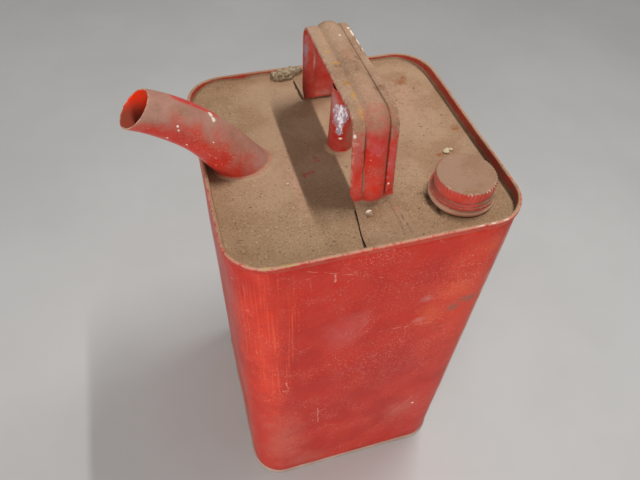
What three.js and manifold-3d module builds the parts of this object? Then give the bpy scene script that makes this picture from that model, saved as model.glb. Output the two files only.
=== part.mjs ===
// Pouring can for fuel, about ten litres: a square tinplate body with folded seams, a strap handle,
// a curved spout, an air vent under the hand and a filler neck closed by a knurled screw cap.
import * as THREE from 'three';
import { mergeVertices } from 'three/addons/utils/BufferGeometryUtils.js';
import Module from 'manifold-3d';

const wasm = await Module();
wasm.setup();

// Driving dimensions in millimetres and degrees. Positions are taken from the middle of the body,
// with the front at -Y and the spout at -X. Heights of fittings are taken from the top plate.
const CLEARANCE = 0.3;            // air between fitted pieces
const SHEET = 0.7;                // tinplate of the body and its ends

const BODY_WIDTH = 186;           // across the rim, side to side
const BODY_DEPTH = 183;           // across the rim, front to back
const CAN_HEIGHT = 338;           // floor to the crown of the rim
const CORNER_RADIUS = 27.5;       // outer corner of the rim
const TOP_RECESS = 8.5;           // crown of the rim down to the top plate
const BOTTOM_RECESS = 5;          // floor up to the bottom plate
const SEAM_HEIGHT = 4;            // outer skirt of a folded seam
const SEAM_ROUND = 0.5;           // rounded edges of a folded seam
const SEAL_HEIGHT = 1.2;          // sealing bead inside a folded seam
const LOCK_SEAM_WIDTH = 8;        // upright folded seam on the back
const LOCK_SEAM_PROUD = 0.9;      // how far it stands out of the wall

const STRAP_SHEET = 1.1;          // steel of the handle strap
const STRAP_WIDTH = 27.3;
const STRAP_X = 1.75;             // middle of the strap
const STRAP_HEIGHT = 61;          // top of the strap above the top plate
const STRAP_FRONT_TOP = -44;      // inner corner where the front leg meets the grip
const STRAP_FRONT_HEEL = -51;     // inner corner where the front leg meets its foot
const STRAP_REAR_TOP = 57;
const STRAP_REAR_HEEL = 58;
const STRAP_TOP_BEND = 10;        // inner radius of the bends at the grip
const STRAP_HEEL_BEND = 4;        // outer radius of the bends at the feet
const STRAP_TOE_GAP = 1;          // end of a foot to the rim
const HEM_LEFT = 7.5;             // edges of the strap folded back on its outer face
const HEM_RIGHT = 5;
const HEM_RISE = 7;               // plain stretch of the leg below the hems
const GROOVE_WIDTH = 1.2;         // between a hem and the crowned middle of the strap
const CROWN = 3.2;                // how far the middle is pressed outwards

const RIVET_X = -1.7;
const RIVET_FROM_HEEL = 9;
const RIVET_RADIUS = 1.8;
const RIVET_HEAD_RADIUS = 3.4;
const RIVET_HEAD_HEIGHT = 1.7;
const RIVET_TAIL_RADIUS = 2.8;
const RIVET_TAIL_HEIGHT = 1.3;

const SPOUT_FROM_SIDE = 27.2;     // left side of the rim to where the spout's middle line meets the plate
const SPOUT_Y = 4.7;
const SPOUT_YAW = 8;              // the spout points slightly to the front
const SPOUT_WALL = 0.9;
const SPOUT_BASE_RADIUS = 15.3;
const SPOUT_MOUTH_RADIUS = 11.6;
const SPOUT_BASE_SLOPE = 55;      // rise of the middle line at the plate
const SPOUT_MOUTH_SLOPE = 26.6;   // rise of the middle line at the mouth
const SPOUT_STRAIGHT = 27.8;      // straight stretch above the plate
const SPOUT_BEND = 104;           // radius of the bend
const SPOUT_TIP = 3.2;            // straight stretch at the mouth
const SPOUT_MOUTH_CUT = 21.8;     // mouth leans back from square to the tube
const SPOUT_STUB = 5;             // depth of the tube's end below the plate

const VENT_X = 0;
const VENT_Y = 5.5;
const VENT_WALL = 0.8;
const VENT_BASE_RADIUS = 8.5;
const VENT_TOP_RADIUS = 7.2;
const VENT_HEIGHT = 47;
const VENT_STUB = 4;              // depth of the tube's end below the plate

const SOLDER_WIDTH = 1.5;         // leg of the solder fillets round the vent and the neck
const SOLDER_HOLLOW = 0.35;       // share of the leg at which a fillet's hollow face passes
const SPOUT_SOLDER_WIDTH = 2;
const SPOUT_SOLDER_ROUND = 0.7;

const NECK_FROM_SIDE = 33.2;      // right side of the rim to the middle of the neck
const NECK_FROM_FRONT = 34.7;     // front of the rim to the middle of the neck
const NECK_RADIUS = 16.4;
const NECK_WALL = 1.2;
const NECK_STUB = 5;              // depth of the neck's end below the plate
const COLLAR_RADIUS = 20.7;       // flange of the neck on the plate
const COLLAR_HEIGHT = 3.3;
const COLLAR_ROUND = 1.2;

const CAP_RADIUS = 19;            // over the knurling
const CAP_TOP = 17.5;
const CAP_EDGE = 4.6;             // lower edge of the skirt
const CAP_WALL = 1;
const CAP_ROUND = 0.8;            // rounded edge of the cap's top
const CURL_RADIUS = 20.4;         // over the rolled lower edge
const CURL_BEAD = 1.4;            // radius of the roll itself
const KNURL_LOW = 10;             // lower end of the knurling
const KNURL_DEPTH = 0.5;
const KNURL_COUNT = 48;
const LINER_THICKNESS = 2;

const THREAD_PITCH = 5;
const THREAD_RADIUS = 1.2;        // rounded ridge rolled in the neck
const THREAD_LOW = 6.3;           // middle of the ridge at its lower end
const THREAD_TURNS = 1;
const THREAD_PHASE = 150;         // direction of the ridge's lower end
const THREAD_SIDE_PLAY = 0.5;     // between the neck and the plain inside of the cap
const THREAD_PLAY = 0.35;         // between the ridge and its groove in the cap
const THREAD_SKIN = 0.7;          // cap metal over the groove
const THREAD_RUN_OUT = 20;        // degrees by which the groove is longer than the ridge

// Facets
const CORNER_SEGMENTS = 4;
const EDGE_SEGMENTS = 1;
const ROUND_SIDES = 32;
const RIVET_SIDES = 16;
const SPOUT_RINGS = 10;
const BEND_SEGMENTS = 5;
const THREAD_SIDES = 4;
const THREAD_STEPS_PER_TURN = 20;
const PASS = 2;                   // by how much a cutting shape runs past what it cuts

// Sizes that follow from those above
const PLATE_TOP = CAN_HEIGHT - TOP_RECESS;
const SPOUT_X = SPOUT_FROM_SIDE - BODY_WIDTH / 2;
const NECK_X = BODY_WIDTH / 2 - NECK_FROM_SIDE;
const NECK_Y = NECK_FROM_FRONT - BODY_DEPTH / 2;
const FOLD_SLOT = SHEET + 2 * CLEARANCE;
const FOLD_THICKNESS = 2 * SHEET + FOLD_SLOT;
const WALL_INSET = SHEET + CLEARANCE;
const WALL_END = SHEET + SEAL_HEIGHT + 2 * CLEARANCE;
const CAP_LAND_RADIUS = NECK_RADIUS + THREAD_SIDE_PLAY;
const CAP_WAIST_RADIUS = CAP_LAND_RADIUS + CAP_WALL;
const CAP_HEAD_RADIUS = CAP_RADIUS - KNURL_DEPTH;
const CAP_CEILING = CAP_TOP - CAP_WALL;
const LINER_LOW = CAP_CEILING - CLEARANCE - LINER_THICKNESS;
const NECK_TOP = LINER_LOW - CLEARANCE;
const GROOVE_RADIUS = THREAD_RADIUS + THREAD_PLAY;
const RIDGE_RADIUS = GROOVE_RADIUS + THREAD_SKIN;

const radians = THREE.MathUtils.degToRad;

// Closed mesh of a geometry as a solid that can be joined and cut.
function solid(geometry) {
  const bare = new THREE.BufferGeometry();
  bare.setAttribute('position', geometry.getAttribute('position'));
  bare.setIndex(geometry.getIndex());
  const merged = mergeVertices(bare);
  const corners = merged.getIndex().array;
  const triVerts = [];
  for (let i = 0; i < corners.length; i += 3) {
    const [a, b, c] = corners.slice(i, i + 3);
    if (a !== b && b !== c && c !== a) {
      triVerts.push(a, b, c);
    }
  }
  return new wasm.Manifold(new wasm.Mesh({
    numProp: 3,
    vertProperties: merged.getAttribute('position').array,
    triVerts: new Uint32Array(triVerts),
  }));
}

// Geometry of a finished solid.
function surface(body) {
  const mesh = body.getMesh();
  const geometry = new THREE.BufferGeometry();
  geometry.setAttribute('position', new THREE.BufferAttribute(mesh.vertProperties, 3));
  geometry.setIndex(new THREE.BufferAttribute(mesh.triVerts, 1));
  geometry.computeVertexNormals();
  return geometry;
}

// Outline of the can seen from above, drawn in from the rim's outer edge.
function canOutline(Outline, inset) {
  const across = BODY_WIDTH / 2 - CORNER_RADIUS;
  const along = BODY_DEPTH / 2 - CORNER_RADIUS;
  const radius = CORNER_RADIUS - inset;
  const quarter = Math.PI / 2;
  const outline = new Outline();
  outline.absarc(across, along, radius, 0, quarter);
  outline.absarc(-across, along, radius, quarter, 2 * quarter);
  outline.absarc(-across, -along, radius, 2 * quarter, 3 * quarter);
  outline.absarc(across, -along, radius, 3 * quarter, 4 * quarter);
  outline.closePath();
  return outline;
}

// Upright wall that follows the can's outline between two insets, with its edges rounded if asked.
function canWall(outerInset, innerInset, low, high, round = 0) {
  const shape = canOutline(THREE.Shape, outerInset);
  shape.holes.push(canOutline(THREE.Path, innerInset));
  const wall = new THREE.ExtrudeGeometry(shape, {
    depth: high - low - 2 * round,
    curveSegments: CORNER_SEGMENTS,
    bevelEnabled: round > 0,
    bevelThickness: round,
    bevelSize: round,
    bevelOffset: -round,
    bevelSegments: EDGE_SEGMENTS,
  });
  return solid(wall.translate(0, 0, low + round));
}

// Turned solid or ring about the Z axis from pairs of radius and height, listed upwards on the outside.
function turned(profile, sides = ROUND_SIDES) {
  const points = profile.map(([radius, height]) => new THREE.Vector2(radius, height));
  const lathe = new THREE.LatheGeometry([...points, points[0]], sides);
  return solid(lathe.rotateX(Math.PI / 2));
}

function cylinder(radius, low, high, sides = ROUND_SIDES) {
  return turned([[0, low], [radius, low], [radius, high], [0, high]], sides);
}

// End of the can with its crown at height zero: a plate set down in a fold that clasps the wall.
function foldedEnd(recess) {
  const fold = canWall(0, FOLD_THICKNESS, -SEAM_HEIGHT, 0, SEAM_ROUND);
  const slot = canWall(SHEET, SHEET + FOLD_SLOT, -SEAM_HEIGHT - PASS, -SHEET);
  const plateLow = -recess - SHEET;
  const inner = canWall(FOLD_THICKNESS - SHEET, FOLD_THICKNESS, plateLow, -SEAM_HEIGHT / 2);
  const plate = new THREE.ExtrudeGeometry(canOutline(THREE.Shape, FOLD_THICKNESS - SHEET), {
    depth: SHEET,
    curveSegments: CORNER_SEGMENTS,
    bevelEnabled: false,
  });
  return fold.subtract(slot).add(inner).add(solid(plate.translate(0, 0, plateLow)));
}

function bodyWrapper() {
  const wall = canWall(WALL_INSET, WALL_INSET + SHEET, WALL_END, CAN_HEIGHT - WALL_END);
  const low = SEAM_HEIGHT + CLEARANCE;
  const high = CAN_HEIGHT - low;
  const outside = BODY_DEPTH / 2 - WALL_INSET;
  const thickness = LOCK_SEAM_PROUD + SHEET / 2;
  const seam = new THREE.BoxGeometry(LOCK_SEAM_WIDTH, thickness, high - low);
  seam.translate(0, outside + LOCK_SEAM_PROUD - thickness / 2, (low + high) / 2);
  return wall.add(solid(seam));
}

function seamSeal() {
  return canWall(WALL_INSET, WALL_INSET + SHEET, 0, SEAL_HEIGHT);
}

// One face of a bent strip: the line through the corners, rounded at each and moved out by a shift.
function stripFace(corners, bends, shift) {
  const points = [];
  corners.forEach((corner, i) => {
    const before = corners[i - 1] ?? corner;
    const after = corners[i + 1] ?? corner;
    const comingIn = new THREE.Vector2().subVectors(corner, before).normalize();
    const goingOut = new THREE.Vector2().subVectors(after, corner).normalize();
    if (before === corner || after === corner) {
      const along = before === corner ? goingOut : comingIn;
      points.push(corner.clone().add(new THREE.Vector2(-along.y, along.x).multiplyScalar(shift)));
      return;
    }
    const turn = Math.atan2(comingIn.cross(goingOut), comingIn.dot(goingOut));
    const radius = bends[i] * Math.sign(turn);
    const normal = new THREE.Vector2(-comingIn.y, comingIn.x);
    const centre = corner.clone().addScaledVector(comingIn, -radius * Math.tan(turn / 2));
    centre.addScaledVector(normal, radius);
    for (let k = 0; k <= BEND_SEGMENTS; k++) {
      const outward = normal.clone().rotateAround(new THREE.Vector2(), turn * k / BEND_SEGMENTS);
      points.push(centre.clone().addScaledVector(outward, shift - radius));
    }
  });
  return points;
}

// Bent strip between two shifts from the line through its corners, as wide as given across X.
function bentStrip(corners, bends, low, high, middle, width) {
  const upper = stripFace(corners, bends, high);
  const lower = stripFace(corners, bends, low);
  const shape = new THREE.Shape([...lower, ...upper.reverse()]);
  const strip = new THREE.ExtrudeGeometry(shape, { depth: width, bevelEnabled: false });
  const yAxis = new THREE.Vector3(0, 1, 0);
  const zAxis = new THREE.Vector3(0, 0, 1);
  const xAxis = new THREE.Vector3(1, 0, 0);
  strip.translate(0, 0, middle - width / 2);
  return solid(strip.applyMatrix4(new THREE.Matrix4().makeBasis(yAxis, zAxis, xAxis)));
}

const RIVET_PLACES = {
  front: STRAP_FRONT_HEEL - RIVET_FROM_HEEL,
  rear: STRAP_REAR_HEEL + RIVET_FROM_HEEL,
};

// Strap with its edges hemmed and its middle crowned along the legs and the grip, and plain feet.
function handleStrap() {
  const toe = BODY_DEPTH / 2 - FOLD_THICKNESS - STRAP_TOE_GAP;
  const grip = STRAP_HEIGHT - STRAP_SHEET;
  const frontTop = new THREE.Vector2(STRAP_FRONT_TOP, grip);
  const rearTop = new THREE.Vector2(STRAP_REAR_TOP, grip);
  const frontHeel = new THREE.Vector2(STRAP_FRONT_HEEL, CLEARANCE);
  const rearHeel = new THREE.Vector2(STRAP_REAR_HEEL, CLEARANCE);
  const frontToe = new THREE.Vector2(-toe, CLEARANCE);
  const rearToe = new THREE.Vector2(toe, CLEARANCE);
  const line = [frontToe, frontHeel, frontTop, rearTop, rearHeel, rearToe];
  const bends = [0, STRAP_HEEL_BEND, STRAP_TOP_BEND, STRAP_TOP_BEND, STRAP_HEEL_BEND, 0];
  const lineAbove = (rise) => [
    frontHeel.clone().lerp(frontTop, rise / frontHeel.distanceTo(frontTop)),
    frontTop,
    rearTop,
    rearHeel.clone().lerp(rearTop, rise / rearHeel.distanceTo(rearTop)),
  ];
  const hemLine = lineAbove(HEM_RISE);
  const hollowLine = lineAbove(HEM_RISE + STRAP_SHEET);
  const hemBends = [0, STRAP_TOP_BEND, STRAP_TOP_BEND, 0];
  let strap = bentStrip(line, bends, 0, STRAP_SHEET, STRAP_X, STRAP_WIDTH);
  const leftEdge = STRAP_X - STRAP_WIDTH / 2;
  const rightEdge = STRAP_X + STRAP_WIDTH / 2;
  const hems = [[leftEdge + HEM_LEFT / 2, HEM_LEFT], [rightEdge - HEM_RIGHT / 2, HEM_RIGHT]];
  for (const [middle, width] of hems) {
    strap = strap.add(bentStrip(hemLine, hemBends, STRAP_SHEET / 2, 2 * STRAP_SHEET, middle, width));
  }
  const crownWidth = STRAP_WIDTH - HEM_LEFT - HEM_RIGHT - 2 * GROOVE_WIDTH;
  const crownX = STRAP_X + (HEM_LEFT - HEM_RIGHT) / 2;
  const hollowWidth = crownWidth - 2 * STRAP_SHEET;
  strap = strap.add(bentStrip(hemLine, hemBends, STRAP_SHEET / 2, STRAP_SHEET + CROWN, crownX, crownWidth));
  strap = strap.subtract(bentStrip(hollowLine, hemBends, -CROWN, CROWN, crownX, hollowWidth));
  for (const y of Object.values(RIVET_PLACES)) {
    strap = strap.subtract(rivetHole(y));
  }
  return strap;
}

function rivetHole(y) {
  const hole = cylinder(RIVET_RADIUS + CLEARANCE, -SHEET - PASS, STRAP_SHEET + PASS, RIVET_SIDES);
  return hole.translate(RIVET_X, y, 0);
}

// Rivet about the Z axis, with its round head on the strap's foot and its tail under the plate.
function handleRivet() {
  const headLow = STRAP_SHEET + 2 * CLEARANCE;
  const tailHigh = -SHEET - CLEARANCE;
  const shoulder = RIVET_HEAD_RADIUS * Math.SQRT1_2;
  return turned([
    [0, tailHigh - RIVET_TAIL_HEIGHT],
    [RIVET_TAIL_RADIUS, tailHigh - RIVET_TAIL_HEIGHT],
    [RIVET_TAIL_RADIUS, tailHigh],
    [RIVET_RADIUS, tailHigh],
    [RIVET_RADIUS, headLow],
    [RIVET_HEAD_RADIUS, headLow],
    [shoulder, headLow + RIVET_HEAD_HEIGHT * Math.SQRT1_2],
    [0, headLow + RIVET_HEAD_HEIGHT],
  ], RIVET_SIDES);
}

const SPOUT_BEND_LENGTH = SPOUT_BEND * radians(SPOUT_BASE_SLOPE - SPOUT_MOUTH_SLOPE);
const SPOUT_LENGTH = SPOUT_STRAIGHT + SPOUT_BEND_LENGTH + SPOUT_TIP;

// Middle line of the spout in the plane y = 0, pointing to -X, at a distance along it from the plate.
function spoutLine(distance) {
  const base = radians(SPOUT_BASE_SLOPE);
  const lower = Math.min(distance, SPOUT_STRAIGHT);
  const bent = THREE.MathUtils.clamp(distance - SPOUT_STRAIGHT, 0, SPOUT_BEND_LENGTH);
  const upper = distance - lower - bent;
  const slope = base - bent / SPOUT_BEND;
  const across = SPOUT_BEND * (Math.sin(base) - Math.sin(slope));
  const up = SPOUT_BEND * (Math.cos(slope) - Math.cos(base));
  return {
    along: -lower * Math.cos(base) - across - upper * Math.cos(slope),
    height: lower * Math.sin(base) + up + upper * Math.sin(slope),
    slope,
  };
}

// Tapered tube body bent along the middle line, with a level lower end and a slanted mouth.
function spoutBody(extraRadius, below, beyond) {
  const tube = new THREE.CylinderGeometry(1, 1, 1, ROUND_SIDES, SPOUT_RINGS);
  const place = tube.getAttribute('position');
  const levelCut = 1 / Math.tan(radians(SPOUT_BASE_SLOPE));
  const mouthCut = Math.tan(radians(SPOUT_MOUTH_CUT));
  const first = -below / Math.sin(radians(SPOUT_BASE_SLOPE));
  const last = SPOUT_LENGTH + beyond;
  for (let i = 0; i < place.count; i++) {
    const share = place.getY(i) + 0.5;
    const nominal = THREE.MathUtils.lerp(first, last, share);
    const taper = THREE.MathUtils.lerp(SPOUT_BASE_RADIUS, SPOUT_MOUTH_RADIUS, nominal / SPOUT_LENGTH);
    const radius = taper + extraRadius;
    const side = place.getX(i) * radius;
    const upper = place.getZ(i) * radius;
    const cut = THREE.MathUtils.lerp(levelCut, mouthCut, share);
    const { along, height, slope } = spoutLine(nominal - upper * cut);
    place.setXYZ(i, along + upper * Math.sin(slope), side, height + upper * Math.cos(slope));
  }
  return solid(tube);
}

function spoutTube() {
  const outside = spoutBody(0, SPOUT_STUB, 0);
  return outside.subtract(spoutBody(-SPOUT_WALL, SPOUT_STUB + PASS, PASS));
}

// Ring of solder on the plate round the spout.
function spoutSolder() {
  const halfLength = SPOUT_BASE_RADIUS / Math.sin(radians(SPOUT_BASE_SLOPE)) + SPOUT_SOLDER_WIDTH;
  const halfWidth = SPOUT_BASE_RADIUS + SPOUT_SOLDER_WIDTH;
  const outline = new THREE.Shape().absellipse(0, 0, halfLength, halfWidth, 0, 2 * Math.PI);
  const bead = new THREE.ExtrudeGeometry(outline, {
    depth: SPOUT_SOLDER_WIDTH - 2 * SPOUT_SOLDER_ROUND,
    curveSegments: ROUND_SIDES / 2,
    bevelThickness: SPOUT_SOLDER_ROUND,
    bevelSize: SPOUT_SOLDER_ROUND,
    bevelOffset: -SPOUT_SOLDER_ROUND,
    bevelSegments: EDGE_SEGMENTS,
  });
  bead.translate(0, 0, CLEARANCE + SPOUT_SOLDER_ROUND);
  return solid(bead).subtract(spoutBody(CLEARANCE, SPOUT_STUB, 0));
}

function ventTube() {
  const taper = (VENT_BASE_RADIUS - VENT_TOP_RADIUS) / VENT_HEIGHT;
  const lowRadius = VENT_BASE_RADIUS + taper * VENT_STUB;
  return turned([
    [lowRadius - VENT_WALL, -VENT_STUB],
    [lowRadius, -VENT_STUB],
    [VENT_TOP_RADIUS, VENT_HEIGHT],
    [VENT_TOP_RADIUS - VENT_WALL, VENT_HEIGHT],
  ]);
}

const VENT_HOLE_RADIUS = VENT_BASE_RADIUS + CLEARANCE;
const NECK_HOLE_RADIUS = NECK_RADIUS + CLEARANCE;

function ventSolder() {
  return turned([
    [VENT_HOLE_RADIUS, CLEARANCE],
    [VENT_HOLE_RADIUS + SOLDER_WIDTH, CLEARANCE],
    [VENT_HOLE_RADIUS + SOLDER_WIDTH * SOLDER_HOLLOW, CLEARANCE + SOLDER_WIDTH * SOLDER_HOLLOW],
    [VENT_HOLE_RADIUS, CLEARANCE + SOLDER_WIDTH],
  ]);
}

// Solder under the plate round the neck's lower end.
function neckSolder() {
  const top = -SHEET - CLEARANCE;
  return turned([
    [NECK_HOLE_RADIUS, top - SOLDER_WIDTH],
    [NECK_HOLE_RADIUS + SOLDER_WIDTH * SOLDER_HOLLOW, top - SOLDER_WIDTH * SOLDER_HOLLOW],
    [NECK_HOLE_RADIUS + SOLDER_WIDTH, top],
    [NECK_HOLE_RADIUS, top],
  ]);
}

// Right-hand thread line round the neck, from its lower end up.
class ThreadLine extends THREE.Curve {
  constructor(turns) {
    super();
    this.turns = turns;
  }

  getPoint(share, target = new THREE.Vector3()) {
    const turned = this.turns * share;
    const angle = radians(THREAD_PHASE) + 2 * Math.PI * turned;
    return target.set(
      NECK_RADIUS * Math.cos(angle), NECK_RADIUS * Math.sin(angle), THREAD_LOW + THREAD_PITCH * turned,
    );
  }
}

// Round cord along the thread, with round ends, moved along the thread by a number of turns.
function threadCord(radius, turns, startTurns) {
  const line = new ThreadLine(turns);
  const section = new THREE.Shape().absarc(0, 0, radius, 0, 2 * Math.PI);
  const cord = new THREE.ExtrudeGeometry(section, {
    steps: Math.ceil(turns * THREAD_STEPS_PER_TURN),
    curveSegments: THREAD_SIDES,
    extrudePath: line,
  });
  let body = solid(cord);
  for (const end of [0, 1]) {
    const ball = new THREE.SphereGeometry(radius, 2 * THREAD_SIDES, THREAD_SIDES + 2);
    const { x, y, z } = line.getPoint(end);
    body = body.add(solid(ball.translate(x, y, z)));
  }
  return body.rotate(0, 0, 360 * startTurns).translate(0, 0, THREAD_PITCH * startTurns);
}

function fillerNeck() {
  const bore = NECK_RADIUS - NECK_WALL;
  const collarTop = CLEARANCE + COLLAR_HEIGHT;
  const neck = turned([
    [bore, -NECK_STUB],
    [NECK_RADIUS, -NECK_STUB],
    [NECK_RADIUS, CLEARANCE],
    [COLLAR_RADIUS - COLLAR_ROUND / 2, CLEARANCE],
    [COLLAR_RADIUS, CLEARANCE + COLLAR_ROUND],
    [COLLAR_RADIUS, collarTop - COLLAR_ROUND],
    [COLLAR_RADIUS - COLLAR_ROUND, collarTop],
    [NECK_RADIUS, collarTop],
    [NECK_RADIUS, NECK_TOP],
    [bore, NECK_TOP],
  ]);
  const ridge = threadCord(THREAD_RADIUS, THREAD_TURNS, 0);
  return neck.add(ridge).subtract(cylinder(bore, -NECK_STUB - PASS, NECK_TOP + PASS));
}

// Knurled band of the cap as a toothed disc.
function knurling() {
  const tooth = Math.PI / KNURL_COUNT;
  const points = [];
  for (let i = 0; i < 2 * KNURL_COUNT; i++) {
    const radius = i % 2 ? CAP_HEAD_RADIUS : CAP_RADIUS;
    points.push(new THREE.Vector2(radius * Math.cos(i * tooth), radius * Math.sin(i * tooth)));
  }
  const band = new THREE.ExtrudeGeometry(new THREE.Shape(points), {
    depth: CAP_TOP - CAP_ROUND - KNURL_LOW,
    bevelEnabled: false,
  });
  return solid(band.translate(0, 0, KNURL_LOW));
}

function screwCap() {
  const curlMiddle = CURL_RADIUS - CURL_BEAD;
  const curlTop = CAP_EDGE + 2 * CURL_BEAD;
  const outside = turned([
    [0, CAP_EDGE],
    [curlMiddle, CAP_EDGE],
    [curlMiddle + CURL_BEAD * Math.SQRT1_2, CAP_EDGE + CURL_BEAD * (1 - Math.SQRT1_2)],
    [CURL_RADIUS, CAP_EDGE + CURL_BEAD],
    [curlMiddle + CURL_BEAD * Math.SQRT1_2, curlTop - CURL_BEAD * (1 - Math.SQRT1_2)],
    [curlMiddle, curlTop],
    [CAP_WAIST_RADIUS, curlTop],
    [CAP_WAIST_RADIUS, KNURL_LOW - CAP_ROUND],
    [CAP_HEAD_RADIUS, KNURL_LOW],
    [CAP_HEAD_RADIUS, CAP_TOP - CAP_ROUND],
    [CAP_HEAD_RADIUS - CAP_ROUND, CAP_TOP],
    [0, CAP_TOP],
  ]);
  const headInside = CAP_HEAD_RADIUS - CAP_WALL;
  const inside = turned([
    [0, CAP_EDGE - PASS],
    [CAP_LAND_RADIUS, CAP_EDGE - PASS],
    [CAP_LAND_RADIUS, KNURL_LOW],
    [headInside, KNURL_LOW + CAP_ROUND],
    [headInside, CAP_CEILING],
    [0, CAP_CEILING],
  ]);
  const runOut = THREAD_RUN_OUT / 360;
  const ridgeStart = (CAP_EDGE + RIDGE_RADIUS - THREAD_LOW) / THREAD_PITCH;
  const grooveStart = (CAP_EDGE - GROOVE_RADIUS - THREAD_LOW) / THREAD_PITCH;
  const ridge = threadCord(RIDGE_RADIUS, THREAD_TURNS + runOut - ridgeStart, ridgeStart);
  const groove = threadCord(GROOVE_RADIUS, THREAD_TURNS + runOut - grooveStart, grooveStart);
  return outside.add(knurling()).add(ridge).subtract(inside).subtract(groove);
}

function capLiner() {
  return cylinder(CAP_LAND_RADIUS - CLEARANCE, LINER_LOW, LINER_LOW + LINER_THICKNESS);
}

// Top of the can with its openings for the fittings.
function topEnd() {
  const spoutHole = spoutBody(CLEARANCE, SPOUT_STUB + PASS, 0).rotate(0, 0, SPOUT_YAW);
  let end = foldedEnd(TOP_RECESS).translate(0, 0, TOP_RECESS);
  end = end.subtract(spoutHole.translate(SPOUT_X, SPOUT_Y, 0));
  end = end.subtract(cylinder(VENT_HOLE_RADIUS, -SHEET - PASS, PASS).translate(VENT_X, VENT_Y, 0));
  end = end.subtract(cylinder(NECK_HOLE_RADIUS, -SHEET - PASS, PASS).translate(NECK_X, NECK_Y, 0));
  for (const y of Object.values(RIVET_PLACES)) {
    end = end.subtract(rivetHole(y));
  }
  return end;
}

// Materials
const redPaint = { color: 0xb8392c, roughness: 0.5, metalness: 0 };
const dustyRed = { color: 0xa2825f, roughness: 0.9, metalness: 0 };
const solderGrey = { color: 0x9a5a48, roughness: 0.6, metalness: 0.2 };
const sealBlack = { color: 0x2b2a28, roughness: 0.8, metalness: 0 };
const rivetSteel = { color: 0xb9b1a6, roughness: 0.5, metalness: 0.8 };
const linerRubber = { color: 0x3a332c, roughness: 0.85, metalness: 0 };

function piece(name, body, finish) {
  const mesh = new THREE.Mesh(surface(body), new THREE.MeshStandardMaterial(finish));
  mesh.name = name;
  return mesh;
}

function group(x, y, z, ...children) {
  const holder = new THREE.Group();
  holder.position.set(x, y, z);
  holder.add(...children);
  return holder;
}

// Assembly
const bottomEnd = piece('bottom_end', foldedEnd(BOTTOM_RECESS), redPaint);
bottomEnd.rotation.x = Math.PI;
const bottomSeal = piece('bottom_seam_seal', seamSeal(), sealBlack);
bottomSeal.position.z = SHEET + CLEARANCE;
const topSeal = piece('top_seam_seal', seamSeal(), sealBlack);
topSeal.position.z = CAN_HEIGHT - SHEET - CLEARANCE - SEAL_HEIGHT;

const spout = group(
  SPOUT_X, SPOUT_Y, 0,
  piece('spout_tube', spoutTube(), redPaint),
  piece('spout_solder', spoutSolder(), solderGrey),
);
spout.rotation.z = radians(SPOUT_YAW);

const vent = group(
  VENT_X, VENT_Y, 0,
  piece('vent_tube', ventTube(), redPaint),
  piece('vent_solder', ventSolder(), solderGrey),
);

const filler = group(
  NECK_X, NECK_Y, 0,
  piece('filler_neck', fillerNeck(), redPaint),
  piece('neck_solder', neckSolder(), solderGrey),
  piece('cap_liner', capLiner(), linerRubber),
  piece('screw_cap', screwCap(), redPaint),
);

const rivets = Object.entries(RIVET_PLACES).map(([end, y]) => {
  const rivet = piece(`handle_rivet_${end}`, handleRivet(), rivetSteel);
  rivet.position.set(RIVET_X, y, 0);
  return rivet;
});

const onTopPlate = group(
  0, 0, PLATE_TOP,
  piece('top_end', topEnd(), dustyRed),
  piece('handle_strap', handleStrap(), dustyRed),
  ...rivets, spout, vent, filler,
);

const bodyWall = piece('body_wrapper', bodyWrapper(), redPaint);
const can = group(0, 0, 0, bodyWall, bottomEnd, bottomSeal, topSeal, onTopPlate);

// The origin is on the floor, in the middle of the whole can with its spout.
const middle = new THREE.Box3().setFromObject(can, true).getCenter(new THREE.Vector3());
can.position.set(-middle.x, -middle.y, 0);

export default can;
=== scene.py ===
# A worn red fuel can of tinplate, thick with dust on top, on a pale studio floor.
import math
import random

import bmesh
import bpy
from mathutils import Matrix, Vector, noise


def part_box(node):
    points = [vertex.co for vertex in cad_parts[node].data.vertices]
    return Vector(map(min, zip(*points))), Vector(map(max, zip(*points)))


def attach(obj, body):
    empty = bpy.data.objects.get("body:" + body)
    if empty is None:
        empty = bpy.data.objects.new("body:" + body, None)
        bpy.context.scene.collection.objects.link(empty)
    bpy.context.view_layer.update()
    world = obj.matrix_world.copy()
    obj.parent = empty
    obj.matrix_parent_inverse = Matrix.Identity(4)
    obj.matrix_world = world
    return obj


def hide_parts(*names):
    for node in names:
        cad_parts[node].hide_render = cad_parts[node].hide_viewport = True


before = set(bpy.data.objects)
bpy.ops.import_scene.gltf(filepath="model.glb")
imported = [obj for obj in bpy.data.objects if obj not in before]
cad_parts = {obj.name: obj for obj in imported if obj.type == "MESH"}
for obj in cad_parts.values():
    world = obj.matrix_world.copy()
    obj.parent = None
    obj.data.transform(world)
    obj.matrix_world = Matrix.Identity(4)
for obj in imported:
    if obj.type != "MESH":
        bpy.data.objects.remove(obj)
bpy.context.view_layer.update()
scene = bpy.context.scene

# Sizes in millimetres. Places are given from the middle of the body, with the floor at height zero.
MM = 0.001
rim_low, rim_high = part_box("top_end")
MIDDLE_X = (rim_low.x + rim_high.x) / 2 / MM
HALF_WIDTH = (rim_high.x - rim_low.x) / 2 / MM
HALF_DEPTH = (rim_high.y - rim_low.y) / 2 / MM
CROWN = rim_high.z / MM
TOP_RECESS = 8.5
PLATE = CROWN - TOP_RECESS
SHEET = 0.7

# Seed of the random lumps on rough pieces and of the loose grains
SEED = 11
noise.seed_set(SEED)


def at(x, y, z):
    """Point in the can's frame, in metres."""
    return Vector((x + MIDDLE_X, y, z)) * MM


def smooth_step(value, low, high):
    share = min(max((value - low) / (high - low), 0.0), 1.0)
    return share * share * (3 - 2 * share)


def fade(value, low, high):
    return 1 - smooth_step(value, low, high)


def mix(low, high, share):
    return low + (high - low) * share


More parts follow.
